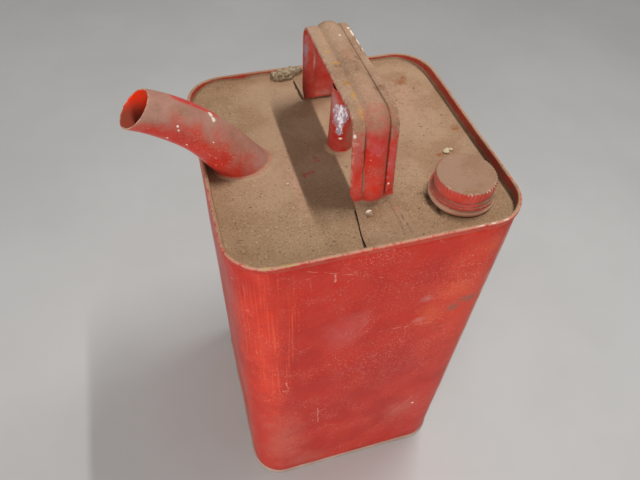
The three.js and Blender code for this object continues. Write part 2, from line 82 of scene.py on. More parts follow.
def uneven(place, size):
    """Smooth random value at a place, with swings about a size across."""
    return noise.noise(Vector(place) / size)


# Shapes
def loop_edges(bm, loop):
    return [bm.edges.get(pair) for pair in zip(loop, loop[1:] + loop[:1])]


def loft(bm, rings, close=False):
    """Skins closed rings of points by extruding the first from one to the next; returns the loops."""
    loop = bmesh.ops.create_circle(bm, segments=len(rings[0]), radius=MM)["verts"]
    loops = []
    for ring in rings:
        if loops:
            made = set(bmesh.ops.extrude_edge_only(bm, edges=loop_edges(bm, loop))["geom"])
            loop = [next(e.other_vert(v) for e in v.link_edges if e.other_vert(v) in made) for v in loop]
        for vertex, place in zip(loop, ring):
            vertex.co = place
        loops.append(loop)
    if close:
        bmesh.ops.bridge_loops(bm, edges=loop_edges(bm, loops[0]) + loop_edges(bm, loops[-1]))
    return loops


def turn(bm, profile, sides, x, y):
    """Turns pairs of radius and height over the plate about an upright line."""
    centre = at(x, y, PLATE)
    chain = [bm.verts.new(centre + Vector((radius, 0, height)) * MM) for radius, height in profile]
    edges = [bm.edges.new(pair) for pair in zip(chain, chain[1:])]
    bmesh.ops.spin(
        bm, geom=chain + edges, cent=centre, axis=(0, 0, 1), angle=2 * math.pi, steps=sides, use_merge=True)
    bmesh.ops.remove_doubles(bm, verts=bm.verts, dist=0.002 * MM)


def about(vertex, x, y):
    """Outward direction, radius, height over the plate and angle of a vertex about an upright line."""
    foot = at(x, y, PLATE)
    flat = Vector((vertex.co.x - foot.x, vertex.co.y - foot.y, 0))
    return flat.normalized(), flat.length / MM, (vertex.co.z - foot.z) / MM, math.atan2(flat.y, flat.x)


def roughen(vertices, depth, size):
    """Moves vertices at random by up to a depth, in lumps about a size across."""
    for vertex in vertices:
        vertex.co += depth * MM * noise.noise_vector(vertex.co / (size * MM))


def lump(bm, radius, squash, place, rounds=3, heading=0.0):
    """Adds a squashed ball at a place and returns its vertices."""
    made = bmesh.ops.create_icosphere(bm, subdivisions=rounds, radius=radius * MM)["verts"]
    bmesh.ops.scale(bm, vec=squash, verts=made)
    bmesh.ops.rotate(bm, matrix=Matrix.Rotation(heading, 3, "Z"), verts=made)
    bmesh.ops.translate(bm, vec=place, verts=made)
    return made


def marks_on(bm, *kinds):
    """Adds a value at every vertex for each kind of weathering and for painted shade and highlights, for the
    materials to read.
    """
    return [bm.verts.layers.float.new(kind) for kind in kinds]


def piece(bm, name, body, slot, finish, *nodes, crease=40, sheet=0):
    """Makes the mesh an object that moves with a body and stands for nodes; a sheet thickens inwards."""
    bmesh.ops.recalc_face_normals(bm, faces=bm.faces)
    mesh = bpy.data.meshes.new(name)
    bm.to_mesh(mesh)
    bm.free()
    mesh.shade_smooth()
    mesh.set_sharp_from_angle(angle=math.radians(crease))
    mesh.materials.append(finish)
    thing = bpy.data.objects.new(name, mesh)
    scene.collection.objects.link(thing)
    if sheet:
        shell = thing.modifiers.new("sheet", "SOLIDIFY")
        shell.thickness = sheet * MM
        shell.offset = -1
    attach(thing, body)
    if nodes:
        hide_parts(*nodes)
    return thing


# Plan of the can; the lock seam runs up the middle of the back
CORNER_RADIUS, CORNER_STEPS, FLAT_STEPS = 27.5, 12, 26
LOCK_SEAM_HALF, LOCK_SEAM_PROUD, LOCK_SEAM_END = 4.0, 0.9, 4.3
LOCK_SEAM_CUTS, LOCK_SEAM_CLEAR = (-1.12, -0.92, -0.5, 0, 0.5, 0.92, 1.12), 1.3


def outline():
    """Corner arcs and flats round the can: place on the rim's corner line and outward direction."""
    across, along = HALF_WIDTH - CORNER_RADIUS, HALF_DEPTH - CORNER_RADIUS
    corners = [(across, along), (-across, along), (-across, -along), (across, -along)]
    places = []
    for i, (x, y) in enumerate(corners):
        for k in range(CORNER_STEPS + 1):
            angle = math.pi / 2 * (i + k / CORNER_STEPS)
            places.append((x, y, math.cos(angle), math.sin(angle)))
        next_x, next_y = corners[(i + 1) % 4]
        shares = [k / FLAT_STEPS for k in range(1, FLAT_STEPS)]
        if i == 0:
            seam_share = LOCK_SEAM_HALF / (2 * across)
            shares = [share for share in shares if abs(share - 0.5) > LOCK_SEAM_CLEAR * seam_share]
            shares += [0.5 + cut * seam_share for cut in LOCK_SEAM_CUTS]
        for share in sorted(shares):
            places.append((mix(x, next_x, share), mix(y, next_y, share), math.cos(angle), math.sin(angle)))
    return places


OUTLINE = outline()


def by_side(out_x, out_y, left, right, front, back):
    """Blends four values by the side of the can that a place faces."""
    across = right if out_x > 0 else left
    along = back if out_y > 0 else front
    return across * out_x ** 2 + along * out_y ** 2


# Heights of the dust bank against the left, right, front and back of the rim
BANK_HEIGHTS = (2.0, 0.8, 1.4, 5.8)


def can_ring(inset, z, waver=0.0, bank=0.0):
    """Ring at an inset from the rim's edge, uneven if asked, and lifted by a share of the dust bank."""
    radius = CORNER_RADIUS - inset
    ring = []
    for x, y, out_x, out_y in OUTLINE:
        place = Vector((x + out_x * radius, y + out_y * radius, z))
        shift = waver * uneven(place, 24)
        heap = by_side(out_x, out_y, *BANK_HEIGHTS) * (1 + 0.3 * uneven(place, 15))
        lift = 0.6 * shift + bank * heap
        ring.append(at(place.x + out_x * shift, place.y + out_y * shift, z + lift))
    return ring


# Dents in the wall: place, radius and depth
WALL_DENTS = [
    (-80, -84, 38, 34, 1.5),
    (34, -90, 56, 42, 1.3),
    (58, -90, 262, 22, 0.7),
    (-20, -90, 250, 55, 0.8),
    (-92, 20, 190, 60, 1.2),
    (92, -30, 120, 55, 1.1),
    (20, 90, 210, 60, 1.2),
    (-92, -50, 300, 30, 0.8),
]
# Springing of the sheet: height and size of its swells, and how far from the seams it starts and is free
WALL_SWELLS = [(0.55, 70), (0.18, 26)]
WALL_HELD, WALL_FREE = 4, 22
WALL_INSET, WALL_LOW, WALL_STEPS = 1.0, 2.5, 56


def wall_offset(x, y, z):
    """How far the wall lies outside its flat face, from its springing sheet and its dents."""
    place = Vector((x, y, z))
    sheet = sum(height * uneven(place, size) for height, size in WALL_SWELLS)
    for *dent, radius, depth in WALL_DENTS:
        sheet -= depth * fade((place - Vector(dent)).length, 0, radius)
    return sheet * smooth_step(z, WALL_HELD, WALL_FREE) * smooth_step(CROWN - z, WALL_HELD, WALL_FREE)


def make_wall(finish):
    bm = bmesh.new()
    radius = CORNER_RADIUS - WALL_INSET
    rings = []
    for k in range(WALL_STEPS + 1):
        z = mix(WALL_LOW, CROWN - WALL_LOW, k / WALL_STEPS)
        between_ends = LOCK_SEAM_END < z < CROWN - LOCK_SEAM_END
        ring = []
        for x, y, out_x, out_y in OUTLINE:
            wall_x, wall_y = x + out_x * radius, y + out_y * radius
            offset = wall_offset(wall_x, wall_y, z)
            faces_back = out_y > 0.999
            if faces_back and between_ends and abs(wall_x) < LOCK_SEAM_HALF:
                offset += LOCK_SEAM_PROUD
            ring.append(at(wall_x + out_x * offset, wall_y + out_y * offset, z))
        rings.append(ring)
    loft(bm, rings)
    piece(bm, "tin_body", "can", "red_enamel", finish, "body_wrapper", sheet=SHEET)


# Folded seam from its lower lip over the crown to its inner wall: inset from the rim's edge, height from the
# crown, dust that lies there and how far the paint is rubbed
FOLD = [
    (1.05, -5.6, 0, 0), (0.8, -5.0, 0, 0), (0.45, -4.4, 0, 0), (0.18, -3.7, 0, 0), (0, -2.9, 0, 0),
    (0, -1.9, 0, 0), (0.03, -1.2, 0, 0.2), (0.18, -0.65, 0, 0.8), (0.5, -0.25, 0.3, 1),
    (0.95, -0.05, 0.6, 0.8), (1.4, 0, 0.9, 0.3), (1.85, -0.06, 1, 0), (2.25, -0.28, 0.9, 0),
    (2.55, -0.7, 0.55, 0), (2.68, -1.3, 0.35, 0),
]
INNER_WALL_INSET, INNER_WALL_BANK, INNER_WALL_DUST = 2.74, 0.5, 0.25
# Dust swept against the rim: inset and share of the bank's height
BANK = [(2.8, 1), (3.5, 0.82), (4.8, 0.5), (6.6, 0.22), (9, 0.06), (11.5, 0)]
# Edge of the bottom's recessed panel: inset and height
BOTTOM_PANEL = [(2.9, 3.9), (3.6, 4.8), (5, 5)]
RIM_WAVER = 0.25
PLATE_CELL = 4.0
PLATE_SPRING, DUST_DRIFT, BOTTOM_SPRING = 0.35, 0.16, 0.4


def plate_offset(x, y):
    """How far the top plate and the dust on it lie off the level."""
    middle = smooth_step(HALF_WIDTH - abs(x), 3, 30) * smooth_step(HALF_DEPTH - abs(y), 3, 30)
    return middle * PLATE_SPRING * uneven((x, y, 7), 60) + DUST_DRIFT * uneven((x, y, 3), 11)


def fill_grid(bm, loop, lift):
    """Fills a loop with a plate cut into square cells, and gives each corner its height."""
    cells = [bmesh.ops.contextual_create(bm, geom=loop)["faces"][0]]
    for axis, half in ((Vector((1, 0, 0)), HALF_WIDTH), (Vector((0, 1, 0)), HALF_DEPTH)):
        count = int(half / PLATE_CELL)
        for k in range(-count, count + 1):
            edges = {e for f in cells for e in f.edges}
            corners = {v for f in cells for v in f.verts}
            cut = bmesh.ops.bisect_plane(
                bm, geom=[*cells, *edges, *corners], dist=0.001 * MM,
                plane_co=at(k * PLATE_CELL, k * PLATE_CELL, 0), plane_no=axis)
            cells = [g for g in cut["geom"] if isinstance(g, bmesh.types.BMFace)]
    for vertex in {v for f in cells for v in f.verts}:
        vertex.co.z += lift(vertex.co.x / MM - MIDDLE_X, vertex.co.y / MM) * MM


def make_top(finish):
    bm = bmesh.new()
    dust, wear_and_highlight, grit, dirt_and_shade = marks_on(bm, "dust", "wear_and_highlight", "grit", "dirt_and_shade")
    rings = [can_ring(inset, CROWN + height, RIM_WAVER) for inset, height, _, _ in FOLD]
    rings.append(can_ring(INNER_WALL_INSET, (CROWN + PLATE) / 2, RIM_WAVER, INNER_WALL_BANK))
    rings += [can_ring(inset, PLATE, 0, share) for inset, share in BANK]
    loops = loft(bm, rings)
    fill_grid(bm, loops[-1], plate_offset)
    for vertex in bm.verts:
        x, y = vertex.co.x / MM - MIDDLE_X, vertex.co.y / MM
        vertex[dust] = 1
        vertex[grit] = max(smooth_step(-y, 5, 75), 0.8 * smooth_step(-x, 35, 85), 0.15)
    on_fold = [(dusty, worn) for _, _, dusty, worn in FOLD] + [(INNER_WALL_DUST, 0)]
    in_corner = range(len(FOLD) - 2, len(FOLD) + 2)
    for i, loop in enumerate(loops):
        for vertex, (_, _, out_x, out_y) in zip(loop, OUTLINE):
            if i < len(on_fold):
                dusty, worn = on_fold[i]
                vertex[dust] = dusty * by_side(out_x, out_y, 0.85, 0.75, 0.95, 0.7)
                vertex[wear_and_highlight] = worn * by_side(out_x, out_y, 0.9, 1.2, 1, 0.9)
            # The inner wall and the corner at its foot are darkened: some dirt all round, and painted shade
            # on the wall, darkest on the right towards the front.
            if i in in_corner:
                to_front = smooth_step(-vertex.co.y / MM, -70, 70)
                vertex[dirt_and_shade] = by_side(out_x, out_y, 0.25, 0.15 + 0.5 * to_front, 0.2, 0.2)
    piece(bm, "tin_top", "can", "dusty_enamel", finish, "top_end", sheet=SHEET)


def make_bottom(finish):
    bm = bmesh.new()
    [dust] = marks_on(bm, "dust")
    rings = [can_ring(inset, -height, RIM_WAVER) for inset, height, _, _ in FOLD]
    rings = [[Vector((p.x, p.y, max(p.z, 0.0))) for p in ring] for ring in rings]
    rings += [can_ring(inset, height) for inset, height in BOTTOM_PANEL]
    loops = loft(bm, rings)
    for loop, (_, height, _, _) in zip(loops, FOLD):
        for vertex in loop:
            vertex[dust] = 1.8 * fade(-height, 4.6, 6.4)
    fill_grid(bm, loops[-1], lambda x, y: BOTTOM_SPRING * uneven((x, y, 0), 50))
    piece(bm, "tin_bottom", "can", "red_enamel", finish, "bottom_end", sheet=SHEET)


# Handle strap: line of its inner face in front-to-back position and height above the plate, and its bends
STRAP_LEFT, STRAP_RIGHT = -11.9, 15.4
STRAP_SHEET = 1.1
STRAP_LINE = [(-87.8, 0.3), (-51, 0.3), (-44, 59.9), (57, 59.9), (58, 0.3), (87.8, 0.3)]
STRAP_BENDS = [7, 10, 10, 4]
STRAP_STEP, DEGREES_A_STEP = 1.6, 9
STRAP_KNOCK = 0.35
FRONT_HEEL, REAR_HEEL = -53, 60
FOOT_FLARE, HEEL_INSET = 5.2, 3.0
BEAD_START, BEAD_END, BEAD_HEIGHT = -45, -79.5, 0.55
HEM_FROM, HEM_FULL = 3.5, 8.5
RIB_MIDDLE, RIB_HALF, RIB_HEIGHT, RIB_FROM = 2.75, 7.0, 3.4, 1.8
GROOVE_FILL = 0.9
# Across the strap's outer face: place, height of the hem over the sheet, wear and dirt
STRAP_OUTSIDE = [
    (-11.9, -0.5, 1, 0), (-11.85, 0.3, 1, 0), (-11.5, 0.85, 0.7, 0), (-10.8, 1.15, 0.3, 0), (-9, 1.25, 0, 0),
    (-7, 1.25, 0, 0), (-5.6, 1.2, 0.2, 0), (-5.0, 1.0, 0.5, 0), (-4.7, 0.5, 0.3, 0.6), (-4.5, -0.1, 0, 1),
    (-4.25, -0.1, 0, 1), (-3.9, 0, 0, 0.3), (-3.3, 0, 0, 0), (-2.3, 0, 0, 0), (-1, 0, 0, 0), (0.8, 0, 0, 0),
    (2.75, 0, 0, 0), (4.7, 0, 0, 0), (6.5, 0, 0, 0), (7.8, 0, 0, 0), (8.8, 0, 0, 0), (9.4, 0, 0, 0.3),
    (9.75, -0.1, 0, 1), (10.0, -0.1, 0, 1), (10.2, 0.5, 0.3, 0.6), (10.5, 1.0, 0.4, 0), (11.1, 1.2, 0.2, 0),
    (12.6, 1.25, 0, 0), (14.2, 1.15, 0.3, 0), (14.9, 0.85, 0.7, 0), (15.35, 0.3, 1, 0), (15.4, -0.5, 1, 0),
]
# Across its inner face: place and height
STRAP_INSIDE = [
    (15.25, 0.4), (14.8, 0.06), (12, 0), (9.6, 0), (8.4, 0), (6.5, 0), (2.75, 0), (-1, 0), (-2.9, 0),
    (-4.1, 0), (-7, 0), (-11.3, 0.06), (-11.75, 0.4),
]
LEFT_HEM_TO, RIGHT_HEM_FROM = -4, 9.7


def rib(x, rise):
    """Height of the rib pressed in the strap, with a round end near each foot."""
    across = abs(x - RIB_MIDDLE) / RIB_HALF
    if across >= 1:
        return 0.0
    start = RIB_FROM + 0.9 * RIB_HALF * (1 - math.sqrt(1 - across * across))
    return RIB_HEIGHT * (1 - across ** 2.5) * smooth_step(rise, start, start + 4.5)


def strap_path():
    """Stations along the strap's inner face: place and outward direction."""
    points = [Vector(point) for point in STRAP_LINE]
    upward = Vector((0, 1))
    path = [(points[0], upward)]

    def go_straight(end, normal):
        start = path[-1][0]
        count = max(1, int((end - start).length / STRAP_STEP))
        path.extend([(start + (end - start) * (k / count), normal) for k in range(1, count)])

    for last, point, following, bend in zip(points, points[1:], points[2:], STRAP_BENDS):
        before = (point - last).normalized()
        after = (following - point).normalized()
        angle = math.atan2(before.x * after.y - before.y * after.x, before.dot(after))
        radius = math.copysign(bend, angle)
        reach = radius * math.tan(angle / 2)
        normal = Vector((-before.y, before.x))
        bend_start = point - before * reach
        go_straight(bend_start, normal)
        centre = bend_start + normal * radius
        steps = max(4, int(abs(math.degrees(angle)) / DEGREES_A_STEP))
        for k in range(steps + 1):
            turned = Matrix.Rotation(angle * k / steps, 2) @ normal
            path.append((centre - turned * radius, turned))
    go_straight(points[-1], upward)
    return path + [(points[-1], upward)]


def strap_ring(place, out):
    """Ring round the strap at a station on its inner face, with its hems, rib, flared foot and knocks."""
    rise = place.y
    knock = STRAP_KNOCK * uneven((place.x, place.y, 4), 30)
    bead = BEAD_HEIGHT * smooth_step(place.x, BEAD_END - 1.5, BEAD_END + 1) if place.x < BEAD_START else 0
    hem_left = smooth_step(rise, HEM_FROM, HEM_FULL)
    hem_right = max(smooth_step(rise, HEM_FROM + 1, HEM_FULL + 1), bead)
    filled = GROOVE_FILL * smooth_step(rise, 48, 59)
    section = []
    for x, hem, _, dirty in STRAP_OUTSIDE:
        share = hem_left if x < RIB_MIDDLE else hem_right
        height = STRAP_SHEET + (hem if hem < 0 else hem * share) + rib(x, rise)
        section.append((x, height + dirty * filled * (1 if x < 0 else 0.5)))
    section += [(x, height + rib(x, rise)) for x, height in STRAP_INSIDE]
    from_heel = max(FRONT_HEEL - place.x, place.x - REAR_HEEL)
    inset = HEEL_INSET * (1 if place.x < 0 else 0.4) * fade(from_heel, 0, 26) * fade(rise, 2, 12)
    flare = FOOT_FLARE * fade(rise, 1.5, 9)
    ring = []
    for x, height in section:
        shift = flare * smooth_step(x, 4, STRAP_RIGHT) + inset * fade(x, STRAP_LEFT, 0) + 0.3 * knock
        spot = place + out * (height + knock * smooth_step(rise, 4, 20))
        ring.append(at(x + shift, spot.x, PLATE + spot.y))
    return ring


def make_strap(finish):
    bm = bmesh.new()
    wear_and_highlight, dirt_and_shade, rust, dust, grit = marks_on(bm, "wear_and_highlight", "dirt_and_shade", "rust", "dust", "grit")
    path = strap_path()
    loops = loft(bm, [strap_ring(place, out) for place, out in path])
    for loop, (place, _) in zip(loops, path):
        rise = place.y
        grip = smooth_step(rise, 45, 59)
        front = place.x < 0
        for vertex, (x, _, worn, dirty) in zip(loop, STRAP_OUTSIDE):
            patchy = 0.5 + 0.8 * uneven((x, place.x, rise), 9)
            in_groove = dirty * smooth_step(rise, 4, 9)
            vertex[wear_and_highlight] = worn * smooth_step(rise, 3, 12)
            on_leg = 0.6 if not front else 0.95 if x > 0 else 0.9 * smooth_step(rise, 26, 36)
            on_grip = 0.05 if x < 0 else 0.5 * fade(place.x, -25, 5)
            vertex[dirt_and_shade] = in_groove * mix(on_leg, on_grip, grip)
            vertex[rust] = in_groove * grip * max(patchy, 0) * (1 if x < 0 else 0.4)
            on_hem = x < LEFT_HEM_TO or x > RIGHT_HEM_FROM
            on_top = 0.35 * smooth_step(rise, 33, 50) if on_hem else 0.3 * smooth_step(rise, 48, 58)
            in_left = 0.9 * in_groove * fade(rise, 24, 34) if front and x < 0 else 0
            vertex[dust] = max(on_top, in_left, fade(rise, 2, 8 if on_hem else 4.5))
            vertex[grit] = 0.8 * fade(rise, 1, 5)
        at_foot = 1 - 0.6 * smooth_step(rise, 8, 40)
        for vertex, (x, _) in zip(loop[len(STRAP_OUTSIDE):], STRAP_INSIDE):
            vertex[dirt_and_shade] = at_foot * fade(x, -11, -4) if not front and rise > 2 else 0
    ends = bmesh.ops.holes_fill(bm, edges=[edge for edge in bm.edges if edge.is_boundary])["faces"]
    bmesh.ops.poke(bm, faces=ends)
    piece(bm, "strap", "can", "dusty_enamel", finish, "handle_strap", crease=50)


RIVETS = {"front": (-1.7, -60.0), "rear": (-1.7, 67.0)}
RIVET_PROFILE = [(0, 3.5), (0.9, 3.4), (1.7, 3.05), (2.3, 2.5), (2.65, 1.9), (2.75, 1.4), (2.6, 0.9)]
RIVET_SIDES, RIVET_SHEET = 32, 0.4


def make_rivets(finish):
    for end, (x, y) in RIVETS.items():
        bm = bmesh.new()
        turn(bm, RIVET_PROFILE, RIVET_SIDES, x, y)
        roughen(bm.verts, 0.12, 2.5)
        piece(bm, f"rivet_{end}", "can", "rivet_steel", finish, f"handle_rivet_{end}", sheet=RIVET_SHEET)


# Spout: bent and tapered tube
SPOUT_X, SPOUT_Y = -65.8, 4.7
SPOUT_YAW = math.radians(8)
SPOUT_WALL = 0.9
SPOUT_BASE_RADIUS, SPOUT_MOUTH_RADIUS = 15.3, 11.6
SPOUT_BASE_SLOPE, SPOUT_MOUTH_SLOPE = math.radians(55), math.radians(26.6)
SPOUT_STRAIGHT, SPOUT_BEND, SPOUT_TIP = 27.8, 104.0, 3.2
SPOUT_MOUTH_CUT = math.tan(math.radians(21.8))
SPOUT_LEVEL_CUT = 1 / math.tan(SPOUT_BASE_SLOPE)
SPOUT_BEND_LENGTH = SPOUT_BEND * (SPOUT_BASE_SLOPE - SPOUT_MOUTH_SLOPE)
SPOUT_LENGTH = SPOUT_STRAIGHT + SPOUT_BEND_LENGTH + SPOUT_TIP
SPOUT_START = -1.2
SPOUT_SIDES, SPOUT_STEPS = 72, 44
SPOUT_ANGLES = [2 * math.pi * k / SPOUT_SIDES for k in range(SPOUT_SIDES)]
SPOUT_KNOCK = 0.45
# Round lip of the mouth: depth in from the outside and distance beyond the cut
SPOUT_LIP = [(0.12, 0.28), (0.45, 0.4), (0.78, 0.28)]
# Solder in its corner: distance out from the tube and height above the plate
SPOUT_FILLET = [(-0.3, 2.2), (0.25, 1.7), (0.8, 0.95), (1.6, 0.4), (2.7, -0.15), (0.6, -0.4), (-0.3, -0.4)]


def by_spout(along, side, height):
    """Place along and across the spout's heading from its foot, at a height above the plate."""
    turned = Matrix.Rotation(SPOUT_YAW, 2) @ Vector((along, side))
    return at(SPOUT_X + turned.x, SPOUT_Y + turned.y, PLATE + height)


def spout_line(distance):
    """Middle line of the spout at a distance from the plate: reach, height and slope."""
    lower = min(distance, SPOUT_STRAIGHT)
    bent = min(max(distance - SPOUT_STRAIGHT, 0), SPOUT_BEND_LENGTH)
    upper = distance - lower - bent
    slope = SPOUT_BASE_SLOPE - bent / SPOUT_BEND
    reach = lower * math.cos(SPOUT_BASE_SLOPE) + upper * math.cos(slope)
    reach += SPOUT_BEND * (math.sin(SPOUT_BASE_SLOPE) - math.sin(slope))
    height = lower * math.sin(SPOUT_BASE_SLOPE) + upper * math.sin(slope)
    height += SPOUT_BEND * (math.cos(slope) - math.cos(SPOUT_BASE_SLOPE))
    return reach, height, slope


def spout_ring(share, inward, beyond=0.0):
    """Ring of the spout's wall at a share of its length, drawn in from the outside by a depth."""
    nominal = mix(SPOUT_START, SPOUT_LENGTH, share) + beyond
    cut = mix(SPOUT_LEVEL_CUT, SPOUT_MOUTH_CUT, share)
    knocked = SPOUT_KNOCK * smooth_step(share, 0, 0.2)
    ring = []
    for angle in SPOUT_ANGLES:
        radius = mix(SPOUT_BASE_RADIUS, SPOUT_MOUTH_RADIUS, nominal / SPOUT_LENGTH) - inward
        radius += knocked * uneven((nominal / 24, 1.4 * math.cos(angle), 1.4 * math.sin(angle)), 1)
        side, upper = radius * math.cos(angle), radius * math.sin(angle)
        reach, height, slope = spout_line(nominal - upper * cut)
        ring.append(by_spout(-reach + upper * math.sin(slope), side, height + upper * math.cos(slope)))
    return ring


def make_spout(finish):
    bm = bmesh.new()
    wear_and_highlight, inside, clean, dirt_and_shade = marks_on(bm, "wear_and_highlight", "inside", "clean", "dirt_and_shade")
    shares = [k / SPOUT_STEPS for k in range(SPOUT_STEPS + 1)]
    outer = [spout_ring(share, 0) for share in shares]
    lip = [spout_ring(1, inward, beyond) for inward, beyond in SPOUT_LIP]
    inner = [spout_ring(share, SPOUT_WALL) for share in reversed(shares)]
    first_lip, first_inner = len(outer), len(outer) + len(lip)
    for i, loop in enumerate(loft(bm, outer + lip + inner, close=True)):
        for angle, vertex in zip(SPOUT_ANGLES, loop):
            vertex[wear_and_highlight] = 1 if first_lip <= i < first_inner else 0
            if i >= first_inner - 1:
                vertex[inside] = 1
                vertex[clean] = 0.7
                vertex[dirt_and_shade] = fade(math.sin(angle), -0.8, 0.1)
            elif i < first_lip:
                ridge = smooth_step(math.degrees(angle), 36, 50) * fade(math.degrees(angle), 84, 106)
                stretch = smooth_step(shares[i], 0.5, 0.64) * fade(shares[i], 0.82, 0.92)
                vertex[clean] = 1.3 * ridge * stretch - 0.5 * smooth_step(shares[i], 0.86, 0.98)
    piece(bm, "spout", "can", "red_enamel", finish, "spout_tube", crease=60)


def make_spout_fillet(finish):
    """Dusty bead of solder in the corner between the spout and the plate."""
    bm = bmesh.new()
    [dust] = marks_on(bm, "dust")
    long_radius = SPOUT_BASE_RADIUS / math.sin(SPOUT_BASE_SLOPE)
    rings = []
    for out, height in SPOUT_FILLET:
        ring = []
        for angle in SPOUT_ANGLES:
            inward, side = math.cos(angle), math.sin(angle)
            swell = 1 + 0.35 * uneven((4 * inward, 4 * side, 2), 1)
            swell *= 1 + 0.35 * max(inward, 0)
            along = (long_radius + out * swell) * inward - height * swell * SPOUT_LEVEL_CUT
            ring.append(by_spout(along, (SPOUT_BASE_RADIUS + out * swell) * side, height * swell))
        rings.append(ring)
    for loop, (out, _) in zip(loft(bm, rings, close=True), SPOUT_FILLET):
        for vertex in loop:
            vertex[dust] = 0.9 * smooth_step(out, 0.4, 2.2)
    piece(bm, "spout_fillet", "can", "painted_solder", finish, "spout_solder", crease=70)


# Air vent, in radius and height above the plate
VENT_X, VENT_Y, VENT_SIDES = 0.0, 5.5, 56
VENT_OUTSIDE = [(8.9, -0.6), (8.75, 0.6), (8.5, 3), (8.2, 10), (7.9, 20), (7.6, 32), (7.35, 42), (7.25, 46.2)]
VENT_LIP = [(7.15, 46.8), (6.85, 47.0), (6.5, 46.8)]
VENT_INSIDE = [(6.45, 44), (6.7, 30), (7.3, 10), (7.7, 0)]
VENT_FILLET = [(8.4, 1.9), (9.1, 1.3), (9.7, 0.6), (10.9, -0.1), (9.2, -0.4), (8.4, -0.4), (8.4, 1.9)]
VENT_LONGEST_EDGE, VENT_CUTS = 5, 3


def make_vent(finish):
    bm = bmesh.new()
    turn(bm, VENT_OUTSIDE + VENT_LIP + VENT_INSIDE + VENT_OUTSIDE[:1], VENT_SIDES, VENT_X, VENT_Y)
    long_edges = [edge for edge in bm.edges if edge.calc_length() > VENT_LONGEST_EDGE * MM]
    bmesh.ops.subdivide_edges(bm, edges=long_edges, cuts=VENT_CUTS)
    for vertex in bm.verts:
        out = about(vertex, VENT_X, VENT_Y)[0]
        vertex.co += out * 0.3 * MM * uneven(vertex.co, 9 * MM)
    piece(bm, "vent", "can", "red_enamel", finish, "vent_tube", crease=60)


def make_vent_fillet(finish):
    bm = bmesh.new()
    [dust] = marks_on(bm, "dust")
    turn(bm, VENT_FILLET, VENT_SIDES, VENT_X, VENT_Y)
    for vertex in bm.verts:
        vertex[dust] = 1.2 * fade(vertex.co.z / MM - PLATE, 0.4, 1.7)
    roughen(bm.verts, 0.3, 4)
    piece(bm, "vent_fillet", "can", "painted_solder", finish, "vent_solder", crease=70)


# Filler neck and screw cap, in radius and height above the plate
NECK_X, NECK_Y, NECK_SIDES = 59.8, -56.8, 144
NECK_COLLAR = [
    (15.2, -0.4), (19.6, -0.3), (20.3, 0.3), (20.7, 1.1), (20.7, 2.3), (20.45, 3.0), (19.9, 3.45),
    (19.0, 3.6), (17.4, 3.65), (16.6, 3.9),
]
COLLAR_TOP = 4
SHANK_RADIUS, SHANK_LOW, SHANK_HIGH, SHANK_STEPS = 16.4, 4.5, 13.5, 24
NECK_LIP = [(16.2, 13.8), (15.8, 13.9), (15.4, 13.8), (15.2, 13.4)]
NECK_BORE = [(15.2, 6), (15.2, -0.4)]
THREAD_LOW, THREAD_PITCH, THREAD_PHASE, THREAD_FADE = 6.3, 5.0, math.radians(150), 0.05
# Ridge of the thread on the neck, and the one it leaves in the cap: height, turns and half its width
NECK_RIDGE, NECK_TURNS, NECK_RIDGE_HALF = 1.2, 1, 1.2
CAP_RIDGE, CAP_TURNS, CAP_RIDGE_HALF = 1.55, 1.06, 1.4


def thread_ridge(angle, height, turns, half_width):
    """Share of the full ridge that a thread leaves at an angle and a height."""
    share = 0.0
    for lap in range(-1, 3):
        turned = (angle - THREAD_PHASE) / (2 * math.pi) + lap
        begun = smooth_step(turned, -THREAD_FADE, THREAD_FADE)
        left = fade(turned, turns - THREAD_FADE, turns + THREAD_FADE)
        gap = (height - THREAD_LOW - THREAD_PITCH * turned) / half_width
        share = max(share, begun * left * math.sqrt(max(0.0, 1 - gap * gap)))
    return share


def make_neck(finish):
    bm = bmesh.new()
    [dirt_and_shade] = marks_on(bm, "dirt_and_shade")
    shank = [(SHANK_RADIUS, mix(SHANK_LOW, SHANK_HIGH, k / SHANK_STEPS)) for k in range(SHANK_STEPS + 1)]
    turn(bm, NECK_COLLAR + shank + NECK_LIP + NECK_BORE, NECK_SIDES, NECK_X, NECK_Y)
    for vertex in bm.verts:
        out, radius, height, angle = about(vertex, NECK_X, NECK_Y)
        if abs(radius - SHANK_RADIUS) < 0.1 and height > SHANK_LOW - 0.1:
            ridge = thread_ridge(angle, height, NECK_TURNS, NECK_RIDGE_HALF)
            vertex.co += out * MM * NECK_RIDGE * ridge
        elif height < COLLAR_TOP:
            # Grime and painted contact shade darken the collar's foot.
            vertex[dirt_and_shade] = fade(height, 0.2, 1)
            vertex.co += out * 0.15 * MM * uneven(vertex.co, 9 * MM)
    piece(bm, "neck", "can", "red_enamel", finish, "filler_neck", crease=50)


CAP_SIDES = 384
CAP_CURL = [
    (16.95, 4.75), (17.6, 4.6), (19.0, 4.6), (19.75, 4.75), (20.25, 5.3), (20.4, 6.0), (20.25, 6.65),
    (19.75, 7.15), (19.0, 7.4), (18.3, 7.5),
]
WAIST_RADIUS, WAIST_LOW, WAIST_HIGH, WAIST_STEPS = 17.95, 7.6, 9.2, 8
SHOULDER = [(18.15, 9.6)]
KNURL_RADIUS, KNURL_LOW, KNURL_HIGH, KNURL_STEPS = 18.4, 10.0, 16.6, 7
KNURL_DEPTH, KNURL_COUNT = 0.6, 48
CAP_EDGE = [
    (18.35, 16.9), (18.15, 17.2), (17.75, 17.42), (17.1, 17.5), (15.8, 17.42), (12, 17.3), (8, 17.25),
    (4, 17.25), (0, 17.25),
]
CAP_INSIDE = [(0, 16.5), (17.4, 16.5), (17.4, 10.8), (16.9, 10.2), (16.9, 7.4)]
# Limits between the cap's knurled band, its waist and curl, and its flat top
BAND_INSIDE, BAND_LOW, BAND_HIGH = 17.6, 9.5, 17.3
WAIST_INSIDE, CURL_INSIDE = 17.5, 18.6
FLAT_RADIUS, FLAT_LOW = 17.9, 17


